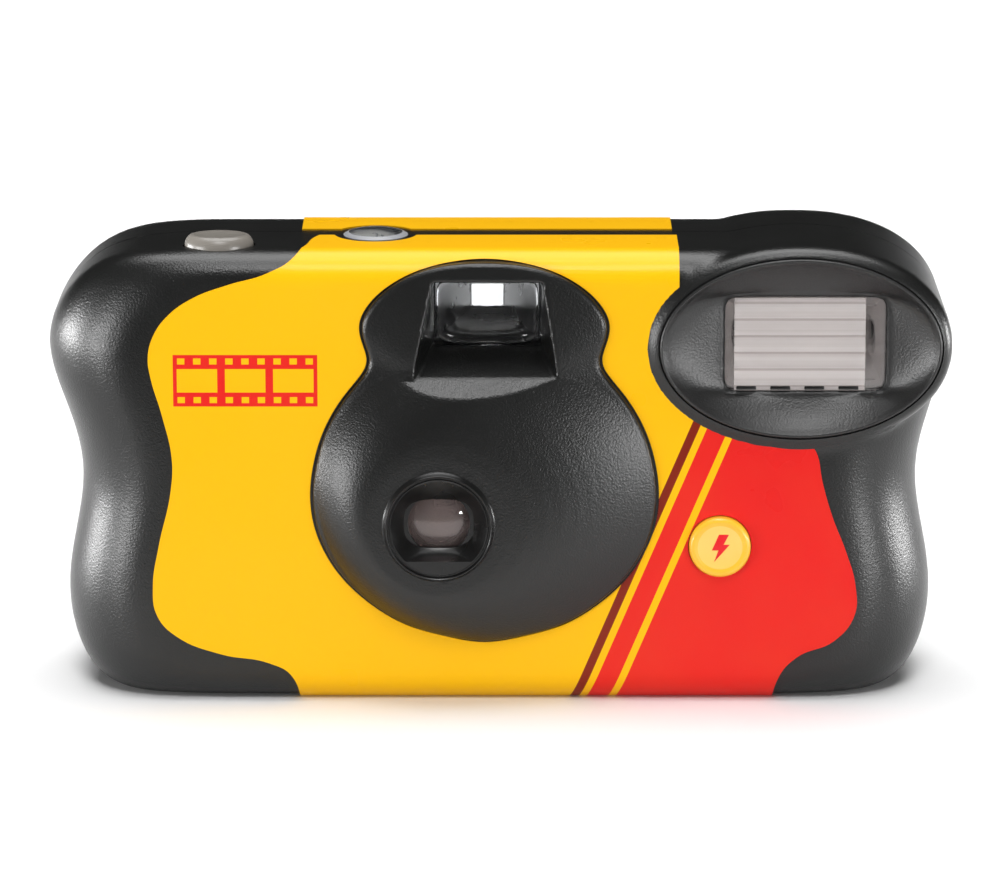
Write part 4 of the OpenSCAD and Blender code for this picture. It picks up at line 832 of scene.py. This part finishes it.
# %% [markdown]
# ### The clips of the flash window
# Four small dark clips hold the window's lower edge. They are blocks with a bevel, joined to one
# piece.

# %% Clips under the window
CLIPS, CLIP_FROM, CLIP_PITCH, CLIP_HALF = 4, PANE_X - 7.6, 4.4, 1.3
clips = []
for step in range(CLIPS):
    x = CLIP_FROM + CLIP_PITCH * step
    clip = block("pane_clips", x - CLIP_HALF, x + CLIP_HALF, PANE_Y - 0.32, PANE_Y + 0.3,
                 tray_low + 0.1, tray_low + 0.6)
    clips.append(finish_with(clip, "BEVEL", width=0.12 * MM, segments=2))
pane_clips = smooth(join(clips), 40)
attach(pane_clips, "camera")
tell(pane_clips)

# %% [markdown]
# ## Finishes
# Each finish is a small graph of nodes that reads the piece's own coordinates, so it stays put when
# the view or the pose changes. The class below holds a Principled surface and the few node steps that
# finishes are made of. A plain finish has a fine grain, an uneven gloss and a faint change of tone, as
# every moulded or printed surface has.

# %% Helpers for finishes
NOISE_DETAIL, BROAD = 3, 9


def add_node(tree, kind, inputs, **settings):
    """A node; each input is a number, a colour or the socket that feeds it. Returns its outputs."""
    node = tree.nodes.new("ShaderNode" + kind)
    for key, value in settings.items():
        setattr(node, key, value)
    for key, value in inputs.items():
        if isinstance(value, bpy.types.NodeSocket):
            tree.links.new(value, node.inputs[key])
        else:
            node.inputs[key].default_value = (*value, 1) if isinstance(value, tuple) else value
    return node.outputs


def ramp(tree, value, start, end, way="LINEAR"):
    """Turn the range start into the range end."""
    inputs = dict(zip(("From Min", "From Max", "To Min", "To Max"), (*start, *end)), Value=value)
    return add_node(tree, "MapRange", inputs, interpolation_type=way)["Result"]


class Finish:
    """A material with a Principled surface, and the node steps to drive it."""

    def __init__(self, name, colour, rough, **sockets):
        self.made = bpy.data.materials.new(name)
        self.made.use_nodes = True
        self.tree = self.made.node_tree
        self.surface = self.tree.nodes["Principled BSDF"]
        self.surface.inputs["Base Color"].default_value = (*colour, 1)
        self.surface.inputs["Roughness"].default_value = rough
        for key, value in sockets.items():
            self.surface.inputs[key.replace("_", " ")].default_value = value
        self.where = add_node(self.tree, "TexCoord", {})["Object"]

    def feed(self, socket, source):
        self.tree.links.new(source, self.surface.inputs[socket])

    def calc(self, way, *values):
        """One Math node; values are numbers or sockets."""
        return add_node(self.tree, "Math", dict(enumerate(values)), operation=way)[0]

    def axis(self, name, unit=MM):
        """One coordinate of the piece, in mm unless another unit is given."""
        return self.calc("DIVIDE", add_node(self.tree, "SeparateXYZ", {0: self.where})[name], unit)

    def both(self, one, two):
        return self.calc("MULTIPLY", one, two)

    def within(self, value, low, high):
        """1 where a value lies between two limits."""
        return self.both(self.calc("GREATER_THAN", value, low), self.calc("LESS_THAN", value, high))

    def repeat(self, value, start, pitch, low, high):
        """1 inside part of each pitch of a repeating row."""
        steps = self.calc("DIVIDE", self.calc("SUBTRACT", value, start), pitch)
        return self.within(self.calc("FRACT", steps), low, high)

    def radius(self, **middle):
        """Distance in mm from the line through two coordinates, such as X=1, Z=2."""
        away = [self.calc("SUBTRACT", self.axis(name), value) for name, value in middle.items()]
        return self.calc("SQRT", self.calc("ADD", *(self.both(side, side) for side in away)))

    def noise(self, size_mm, where=None):
        """Soft random clouds of a size."""
        return add_node(self.tree, "TexNoise", {
            "Scale": 1 / (size_mm * MM), "Detail": NOISE_DETAIL,
            "Vector": self.where if where is None else where})["Fac"]

    def bump(self, height, strength, depth_mm):
        """Relief without moving the mesh."""
        self.feed("Normal", add_node(self.tree, "Bump", {
            "Strength": strength, "Distance": depth_mm * MM, "Height": height})["Normal"])

    def spread(self, value, low, high):
        return ramp(self.tree, value, (0, 1), (low, high))

    def mix(self, share, one, two):
        """Blend two colours, each a plain colour or a socket."""
        return add_node(self.tree, "Mix", {"Factor": share, "A": one, "B": two}, data_type="RGBA")["Result"]


def plain(name, colour, grain, gloss, shade=0.12, **sockets):
    """Grain is (size mm, strength, depth mm), gloss a range of roughness, shade the change of tone."""
    finish = Finish(name, colour, gloss[0], **sockets)
    size, strength, depth = grain
    broad = finish.noise(BROAD)
    finish.bump(finish.noise(size), strength, depth)
    finish.feed("Roughness", finish.spread(broad, *gloss))
    base = finish.surface.inputs["Base Color"].default_value[:3]
    finish.tone = finish.mix(broad, *(tuple(c * k for c in base) for k in (1 - shade, 1 + shade)))
    finish.feed("Base Color", finish.tone)
    return finish


print("steps of a finish:", [step for step in vars(Finish) if not step.startswith("_")])

# %% [markdown]
# ### Black plastic
# The covers are moulded black, with a grain that the mould is etched with, so that they grip well and
# hide marks. The bezel has the same grain and a paler base, painted light for the light its dish catches.
# Inner parts come from polished moulds.

# %% Grained and smooth black plastic
ETCHED = (0.26, 1.0, 0.045)
black_grain = plain("black_grain", (0.005, 0.0052, 0.005), ETCHED, (0.27, 0.34), Specular_IOR_Level=0.5)
# Painted light: the bezel is a paler copy of the black grain, lighter for the light its dish catches.
lit_bezel_grain = plain("lit_bezel_grain", (0.011, 0.011, 0.011), ETCHED, (0.33, 0.4), Specular_IOR_Level=0.6)
black_smooth = plain("black_smooth", (0.006, 0.006, 0.006), (0.8, 0.1, 0.03), (0.24, 0.32),
                     Specular_IOR_Level=0.45)
print("black plastics:", [finish.made.name for finish in (black_grain, lit_bezel_grain, black_smooth)])

# %% [markdown]
# ### The print
# The film is printed bright yellow, with a red field and slanted stripes at the right and a plain
# film-strip sign at the left. The rear label has three empty panels over a red band. Every shape is a
# mask made by comparing coordinates, so it stays sharp at any distance. A low roughness gives the
# gloss of laminated print.

# %% Printed film
YELLOW, RED, DARK_RED = (0.92, 0.48, 0.002), (0.74, 0.006, 0.012), (0.19, 0.003, 0.004)
PAPER, MOTTLE = (0.8, 0.76, 0.66), (0.95, 0.6, 0.1)
SLOPE, FIELD_FROM, RED_BAR, DARK_BAR, STRIPES_TOP = 0.42, 15.2, (11.4, 14.2), (9.2, 10.4), 41
STRIP_FROM, STRIP_TO, STRIP_MID_Z, STRIP_HALF = -42, -23.4, 43, 3.4
HOLES, HOLE_ROW, FRAMES, FRAME_HALF = (2.0667, 0.27, 0.73), (2.15, 2.95), (6.2, 0.08, 0.92), 1.55
PANELS_X, PANELS_Z, PANELS, BAND_Z = (-20.6, 17.4), (17, 38), (-21, 12.933, 0.06, 0.94), (11.5, 14)
label = Finish("print_film", YELLOW, 0.28, Specular_IOR_Level=0.19)
calc, both, within, repeat, mix = label.calc, label.both, label.within, label.repeat, label.mix
across, up = label.axis("X"), label.axis("Z")
slant = calc("SUBTRACT", across, calc("MULTIPLY", up, SLOPE))
reds = calc("MAXIMUM", calc("GREATER_THAN", slant, FIELD_FROM), within(slant, *RED_BAR))
strip_up = calc("ABSOLUTE", calc("SUBTRACT", up, STRIP_MID_Z))
strip = both(within(across, STRIP_FROM, STRIP_TO), calc("LESS_THAN", strip_up, STRIP_HALF))
holes = both(repeat(across, STRIP_FROM, *HOLES), within(strip_up, *HOLE_ROW))
frames = both(repeat(across, STRIP_FROM, *FRAMES), calc("LESS_THAN", strip_up, FRAME_HALF))
sign = calc("SUBTRACT", strip, both(strip, calc("MAXIMUM", holes, frames)))
in_front = calc("LESS_THAN", label.axis("Y"), 0)
low_front = both(in_front, calc("LESS_THAN", up, STRIPES_TOP))
behind = calc("SUBTRACT", 1, in_front)
panel = both(behind, both(within(across, *PANELS_X), within(up, *PANELS_Z)))
panes = both(repeat(across, *PANELS), within(up, PANELS_Z[0] + 1, PANELS_Z[1] - 1))
rear_band = both(behind, within(up, *BAND_Z))
ink = mix(both(within(slant, *DARK_BAR), low_front), YELLOW, DARK_RED)
for mask, colour in ((both(reds, low_front), RED), (both(in_front, sign), RED),
                     (calc("MAXIMUM", panel, rear_band), RED), (both(panel, panes), PAPER)):
    ink = mix(mask, ink, colour)
mottle = label.noise(14)
label.feed("Base Color", label.mix(label.spread(mottle, 0, 0.05), ink, MOTTLE))
label.bump(label.noise(2.5), 0.05, 0.02)
label.feed("Roughness", label.spread(mottle, 0.25, 0.32))
print("print nodes:", len(label.tree.nodes))

# %% [markdown]
# ### Buttons, inks and clear plastic
# The charge button is moulded in yellow and its dish is paler than its rim. The other finishes here
# are plain ones. Clear plastic lets light through and bends it as the real material does.

# %% Buttons, inks and clear plastic
PALE_YELLOW, WATER_CLEAR = (0.92, 0.58, 0.12), (0.96, 0.97, 0.98)
grey_key = plain("grey_key", (0.19, 0.175, 0.155), (0.7, 0.08, 0.02), (0.26, 0.36), Specular_IOR_Level=0.5)
yellow_key = plain("yellow_key", (0.93, 0.5, 0.03), (0.9, 0.06, 0.02), (0.28, 0.36), 0.04, Coat_Weight=0.3)
dish_mask = yellow_key.calc("LESS_THAN", yellow_key.radius(X=CHARGE_X, Z=CHARGE_Z), CHARGE_R - 1.1)
yellow_key.feed("Base Color", yellow_key.mix(dish_mask, yellow_key.tone, PALE_YELLOW))
red_ink = plain("red_ink", RED, (0.6, 0.05, 0.01), (0.36, 0.44), 0.05)
black_ink = plain("black_ink", (0.02, 0.02, 0.02), (0.4, 0.05, 0.01), (0.45, 0.55))
clear_plastic = plain("clear_plastic", WATER_CLEAR, (4, 0.03, 0.02), (0.02, 0.05), 0.01,
                      Transmission_Weight=1.0, IOR=1.47)
print("plain finishes done, materials:", len(bpy.data.materials))

# %% [markdown]
# ### Clear windows
# The flash window is clear with a milky touch where its ribs spread the light. On the milky part light
# and shade are painted: level bands lighter and darker, and painted shade as dark lines in the valleys
# between the ribs; the side walls stay clear. The counter window is clear with an opaque grey ring round
# its bevel, a painted highlight. Part of the light passes straight through both, so what lies behind
# them is lit.

# %% Ribbed flash window with painted bands, and counter window with a painted ring highlight
SHADED_VALLEY_HALF, LIGHT_BAND_SIZE, PAINTED_RING_GREY = 0.07, 1.1, (0.33, 0.34, 0.36)
ribbed = Finish("ribbed_clear", (1, 1, 1), 0.05, IOR=1.47)
milky = ribbed.within(ribbed.axis("X"), PANE_X - 9.2, PANE_X + 7.7)
rib_pitch = (tray_high - tray_low - 1.2) / RIBS
height = ribbed.axis("Z", unit=1)
ribs_up = ribbed.calc("DIVIDE", ribbed.calc("SUBTRACT", height, (tray_low + 0.6) * MM), rib_pitch * MM)
# Painted shade: dark lines in the valleys between the ribs.
painted_valley_shade = ribbed.calc("LESS_THAN", ribbed.calc("PINGPONG", ribs_up, 0.5), SHADED_VALLEY_HALF)
level = add_node(ribbed.tree, "CombineXYZ", {"Z": height})["Vector"]
# Painted light and shade: level bands of lighter and darker colour on the milky part.
painted_light_bands = ribbed.spread(ribbed.noise(LIGHT_BAND_SIZE, level), -0.6, 1.6)
painted_rib_light = ribbed.mix(painted_light_bands, (0.72, 0.66, 0.65), (1.0, 0.96, 0.94))
painted_rib_light = ribbed.mix(painted_valley_shade, painted_rib_light, (0.62, 0.56, 0.55))
ribbed.feed("Base Color", ribbed.mix(milky, (0.42, 0.43, 0.44), painted_rib_light))
ribbed.feed("Transmission Weight", ribbed.spread(milky, 1.0, 0.5))
ribbed.feed("Alpha", ribbed.spread(milky, 0.5, 0.78))

painted_ring_window = Finish("window_clear", WATER_CLEAR, 0.05, IOR=1.47)
# Painted highlight: the ring round the bevel is opaque grey where the clear bevel would catch light.
bevel = painted_ring_window.calc("GREATER_THAN", painted_ring_window.radius(X=DIAL_X, Y=DIAL_Y), DIAL_R - 0.7)
painted_ring_window.feed("Base Color", painted_ring_window.mix(bevel, WATER_CLEAR, PAINTED_RING_GREY))
for socket, clear_part, bevel_part in (("Transmission Weight", 1.0, 0.0), ("Alpha", 0.4, 1.0),
                                       ("Roughness", 0.04, 0.35)):
    painted_ring_window.feed(socket, painted_ring_window.spread(bevel, clear_part, bevel_part))
for finish in (ribbed, painted_ring_window):
    finish.bump(finish.noise(4), 0.03, 0.02)
print("clear windows:", ribbed.made.name, painted_ring_window.made.name)

# %% [markdown]
# ### Dressing
# Solids that are not modelled again keep their shape and get the finish of their real material, most
# of them from the table. The new pieces follow, each with its own.

# %% Which piece wears which finish
SOLIDS = [
    (black_smooth, "finder_tube lens_holder lens_retainer main_frame cartridge_spool thumbwheel "
     "reverse_pawl shutter_blade striker_lever release_lever transistor"),
    (clear_plastic, "finder_eyepiece"),
    (plain("white_plastic", (0.75, 0.75, 0.71), (0.8, 0.1, 0.02), (0.4, 0.5), 0.04),
     "supply_spool film_sprocket counter_wheel"),
    (plain("tin", (0.55, 0.55, 0.56), (0.5, 0.15, 0.02), (0.3, 0.42), Metallic=1.0),
     "cartridge_caps shutter_spring striker_spring"),
    (plain("reflector_white", (0.97, 0.92, 0.9), (1.5, 0.06, 0.03), (0.36, 0.44), 0.02), "flash_reflector"),
    (plain("contact_metal", (0.75, 0.6, 0.32), (0.6, 0.1, 0.02), (0.25, 0.36), Metallic=1.0),
     "contact_lower contact_upper charge_leaf sync_leaf"),
    (plain("film_base", (0.06, 0.035, 0.03), (3, 0.04, 0.02), (0.2, 0.3), Coat_Weight=0.3),
     "film_strip film_roll"),
    (plain("board_brown", (0.2, 0.1, 0.035), (0.5, 0.2, 0.03), (0.45, 0.6)), "circuit_board"),
    (plain("can_print", (0.1, 0.16, 0.12), (2, 0.05, 0.02), (0.3, 0.4), Coat_Weight=0.3),
     "battery cartridge_shell"),
    (plain("sleeve_blue", (0.02, 0.02, 0.06), (2, 0.05, 0.02), (0.25, 0.4), Coat_Weight=0.3),
     "storage_capacitor"),
    (plain("copper_wire", (0.55, 0.22, 0.09), (0.3, 0.5, 0.06), (0.3, 0.4), Metallic=1.0),
     "transformer trigger_coil"),
    (plain("clay", (0.5, 0.36, 0.18), (0.6, 0.2, 0.03), (0.5, 0.6)), "resistor"),
    (plain("lens_glass", (0.9, 0.74, 0.71), (5, 0.01, 0.01), (0.01, 0.03), 0.01,
           Transmission_Weight=0.92, IOR=1.49), "taking_lens"),
    (plain("tube_glass", (1.0, 0.97, 0.96), (3, 0.02, 0.01), (0.03, 0.08), 0.01,
           Transmission_Weight=1.0, IOR=1.46), "flash_tube"),
    (plain("amber", (0.95, 0.32, 0.05), (3, 0.03, 0.02), (0.12, 0.2), 0.03,
           Transmission_Weight=0.7, IOR=1.47), "ready_lamp ready_window"),
]
PIECES = {
    black_grain: (front_shell, rear_shell, lens_dome), lit_bezel_grain: (flash_bezel,),
    black_smooth: (lens_ring, pane_clips), label: (front_print, rear_print), grey_key: (shutter_key,),
    yellow_key: (charge_key,), red_ink: (charge_bolt,), black_ink: (dial_figures,),
    painted_ring_window: (counter_glass,), ribbed: (flash_pane,), clear_plastic: (finder_lens,),
}


def dress(piece, finish):
    """Give a piece one finish."""
    piece.data.materials.clear()
    piece.data.materials.append(finish.made)


for finish, names in SOLIDS:
    for name in names.split():
        dress(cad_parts[name], finish)
for finish, pieces in PIECES.items():
    for piece in pieces:
        dress(piece, finish)
print("finishes:", len(bpy.data.materials))

# %% [markdown]
# ## Paper and sky
# In the photograph the camera stands on white, with a small soft shadow. A sheet of pale paper reaches
# past the view. It is graduated: nearer than the view it shades to grey, so that black plastic, which
# mirrors it, stays black. Light that only bounces sees it darker still, and what looks at it, straight
# or in a mirror, sees it pale. The sky is dim, and dimmer behind than in front.

# %% Floor and world
FLOOR_SIZE, BOUNCE_GREY = 8, (0.42, 0.42, 0.42)
FADE_Y, FADE_TO = (-0.145, -0.088), (0.15, 0.94)
SKY_Y, SKY_TO = (-0.2, 0.5), (0.12, 0.02)
clear()
bpy.ops.mesh.primitive_plane_add(size=FLOOR_SIZE)
floor = bpy.context.object
floor.name = "floor"
paint = Finish("floor_paint", (0.93, 0.93, 0.93), 0.6, Specular_IOR_Level=0.05)
path = add_node(paint.tree, "LightPath", {})
mirrored = paint.calc("MAXIMUM", path["Is Glossy Ray"], path["Is Transmission Ray"])
seen = paint.calc("MAXIMUM", path["Is Camera Ray"], mirrored)
fade = ramp(paint.tree, paint.axis("Y", unit=1), FADE_Y, FADE_TO, "SMOOTHSTEP")
paper = paint.mix(fade, (0, 0, 0), (1, 1, 1))
paint.feed("Base Color", paint.mix(seen, BOUNCE_GREY, paper))
paint.bump(paint.noise(40), 0.02, 0.05)
dress(floor, paint)
world = bpy.data.worlds.new("studio")
bpy.context.scene.world = world
world.use_nodes = True
tree = world.node_tree
sky = tree.nodes["Background"]
sky.inputs["Color"].default_value = (1, 1, 1, 1)
toward = add_node(tree, "SeparateXYZ", {0: add_node(tree, "TexCoord", {})["Generated"]})
tree.links.new(ramp(tree, toward["Y"], SKY_Y, SKY_TO), sky.inputs["Strength"])
print("floor m:", FLOOR_SIZE, "sky from", SKY_TO[0], "to", SKY_TO[1])

# %% [markdown]
# ## Lamps
# A far lamp overhead lights the paper evenly to its end, and a key lamp draws the bright line along the
# top edge. Two low strips at each side draw the broad highlights; they stand no taller than the camera,
# so that its top keeps its colour from every side.

# %% Far lamps and low strips
STRIP_FAR, STRIP_MID, STRIP_TALL = 1.0, 0.028, 0.05


def add_lamp(name, kind, round_from_front, height):
    """A lamp that looks at the middle from an angle round from the front and a height, in degrees."""
    clear()
    bpy.ops.object.light_add(type=kind)
    lamp = bpy.context.object
    lamp.name = name
    side, rise = radians(round_from_front), radians(height)
    source = Vector((sin(side) * cos(rise), -cos(side) * cos(rise), sin(rise)))
    lamp.rotation_euler = (-source).to_track_quat("-Z", "Y").to_euler()
    return lamp, source


def far_lamp(name, round_from_front, height, wide, level):
    """A far lamp: its width in degrees and its share of plain light."""
    lamp, _ = add_lamp(name, "SUN", round_from_front, height)
    lamp.data.energy, lamp.data.angle = level * pi, radians(wide)


def low_lamp(name, round_from_front, wide, level):
    """A low strip lamp beside the set, no taller than the camera, so that no glare falls on its top."""
    lamp, source = add_lamp(name, "AREA", round_from_front, 0)
    lamp.location = source * STRIP_FAR + Vector((0, 0, STRIP_MID))
    lamp.data.shape = "RECTANGLE"
    lamp.data.size, lamp.data.size_y = 2 * STRIP_FAR * tan(radians(wide / 2)), STRIP_TALL
    lamp.data.energy = level * (pi * STRIP_FAR) ** 2
    lamp.visible_camera = False


far_lamp("lamp_over", 0, 98, 52, 0.97)
far_lamp("lamp_key", 0, 55, 20, 0.37)
low_lamp("lamp_left", -57, 22, 0.5)
low_lamp("lamp_right", 43, 20, 0.42)
low_lamp("lamp_left_side", -96, 30, 0.85)
low_lamp("lamp_right_side", 96, 30, 0.7)

# The plain view transform keeps the colours as they were chosen.

bpy.context.scene.view_settings.view_transform = "Standard"
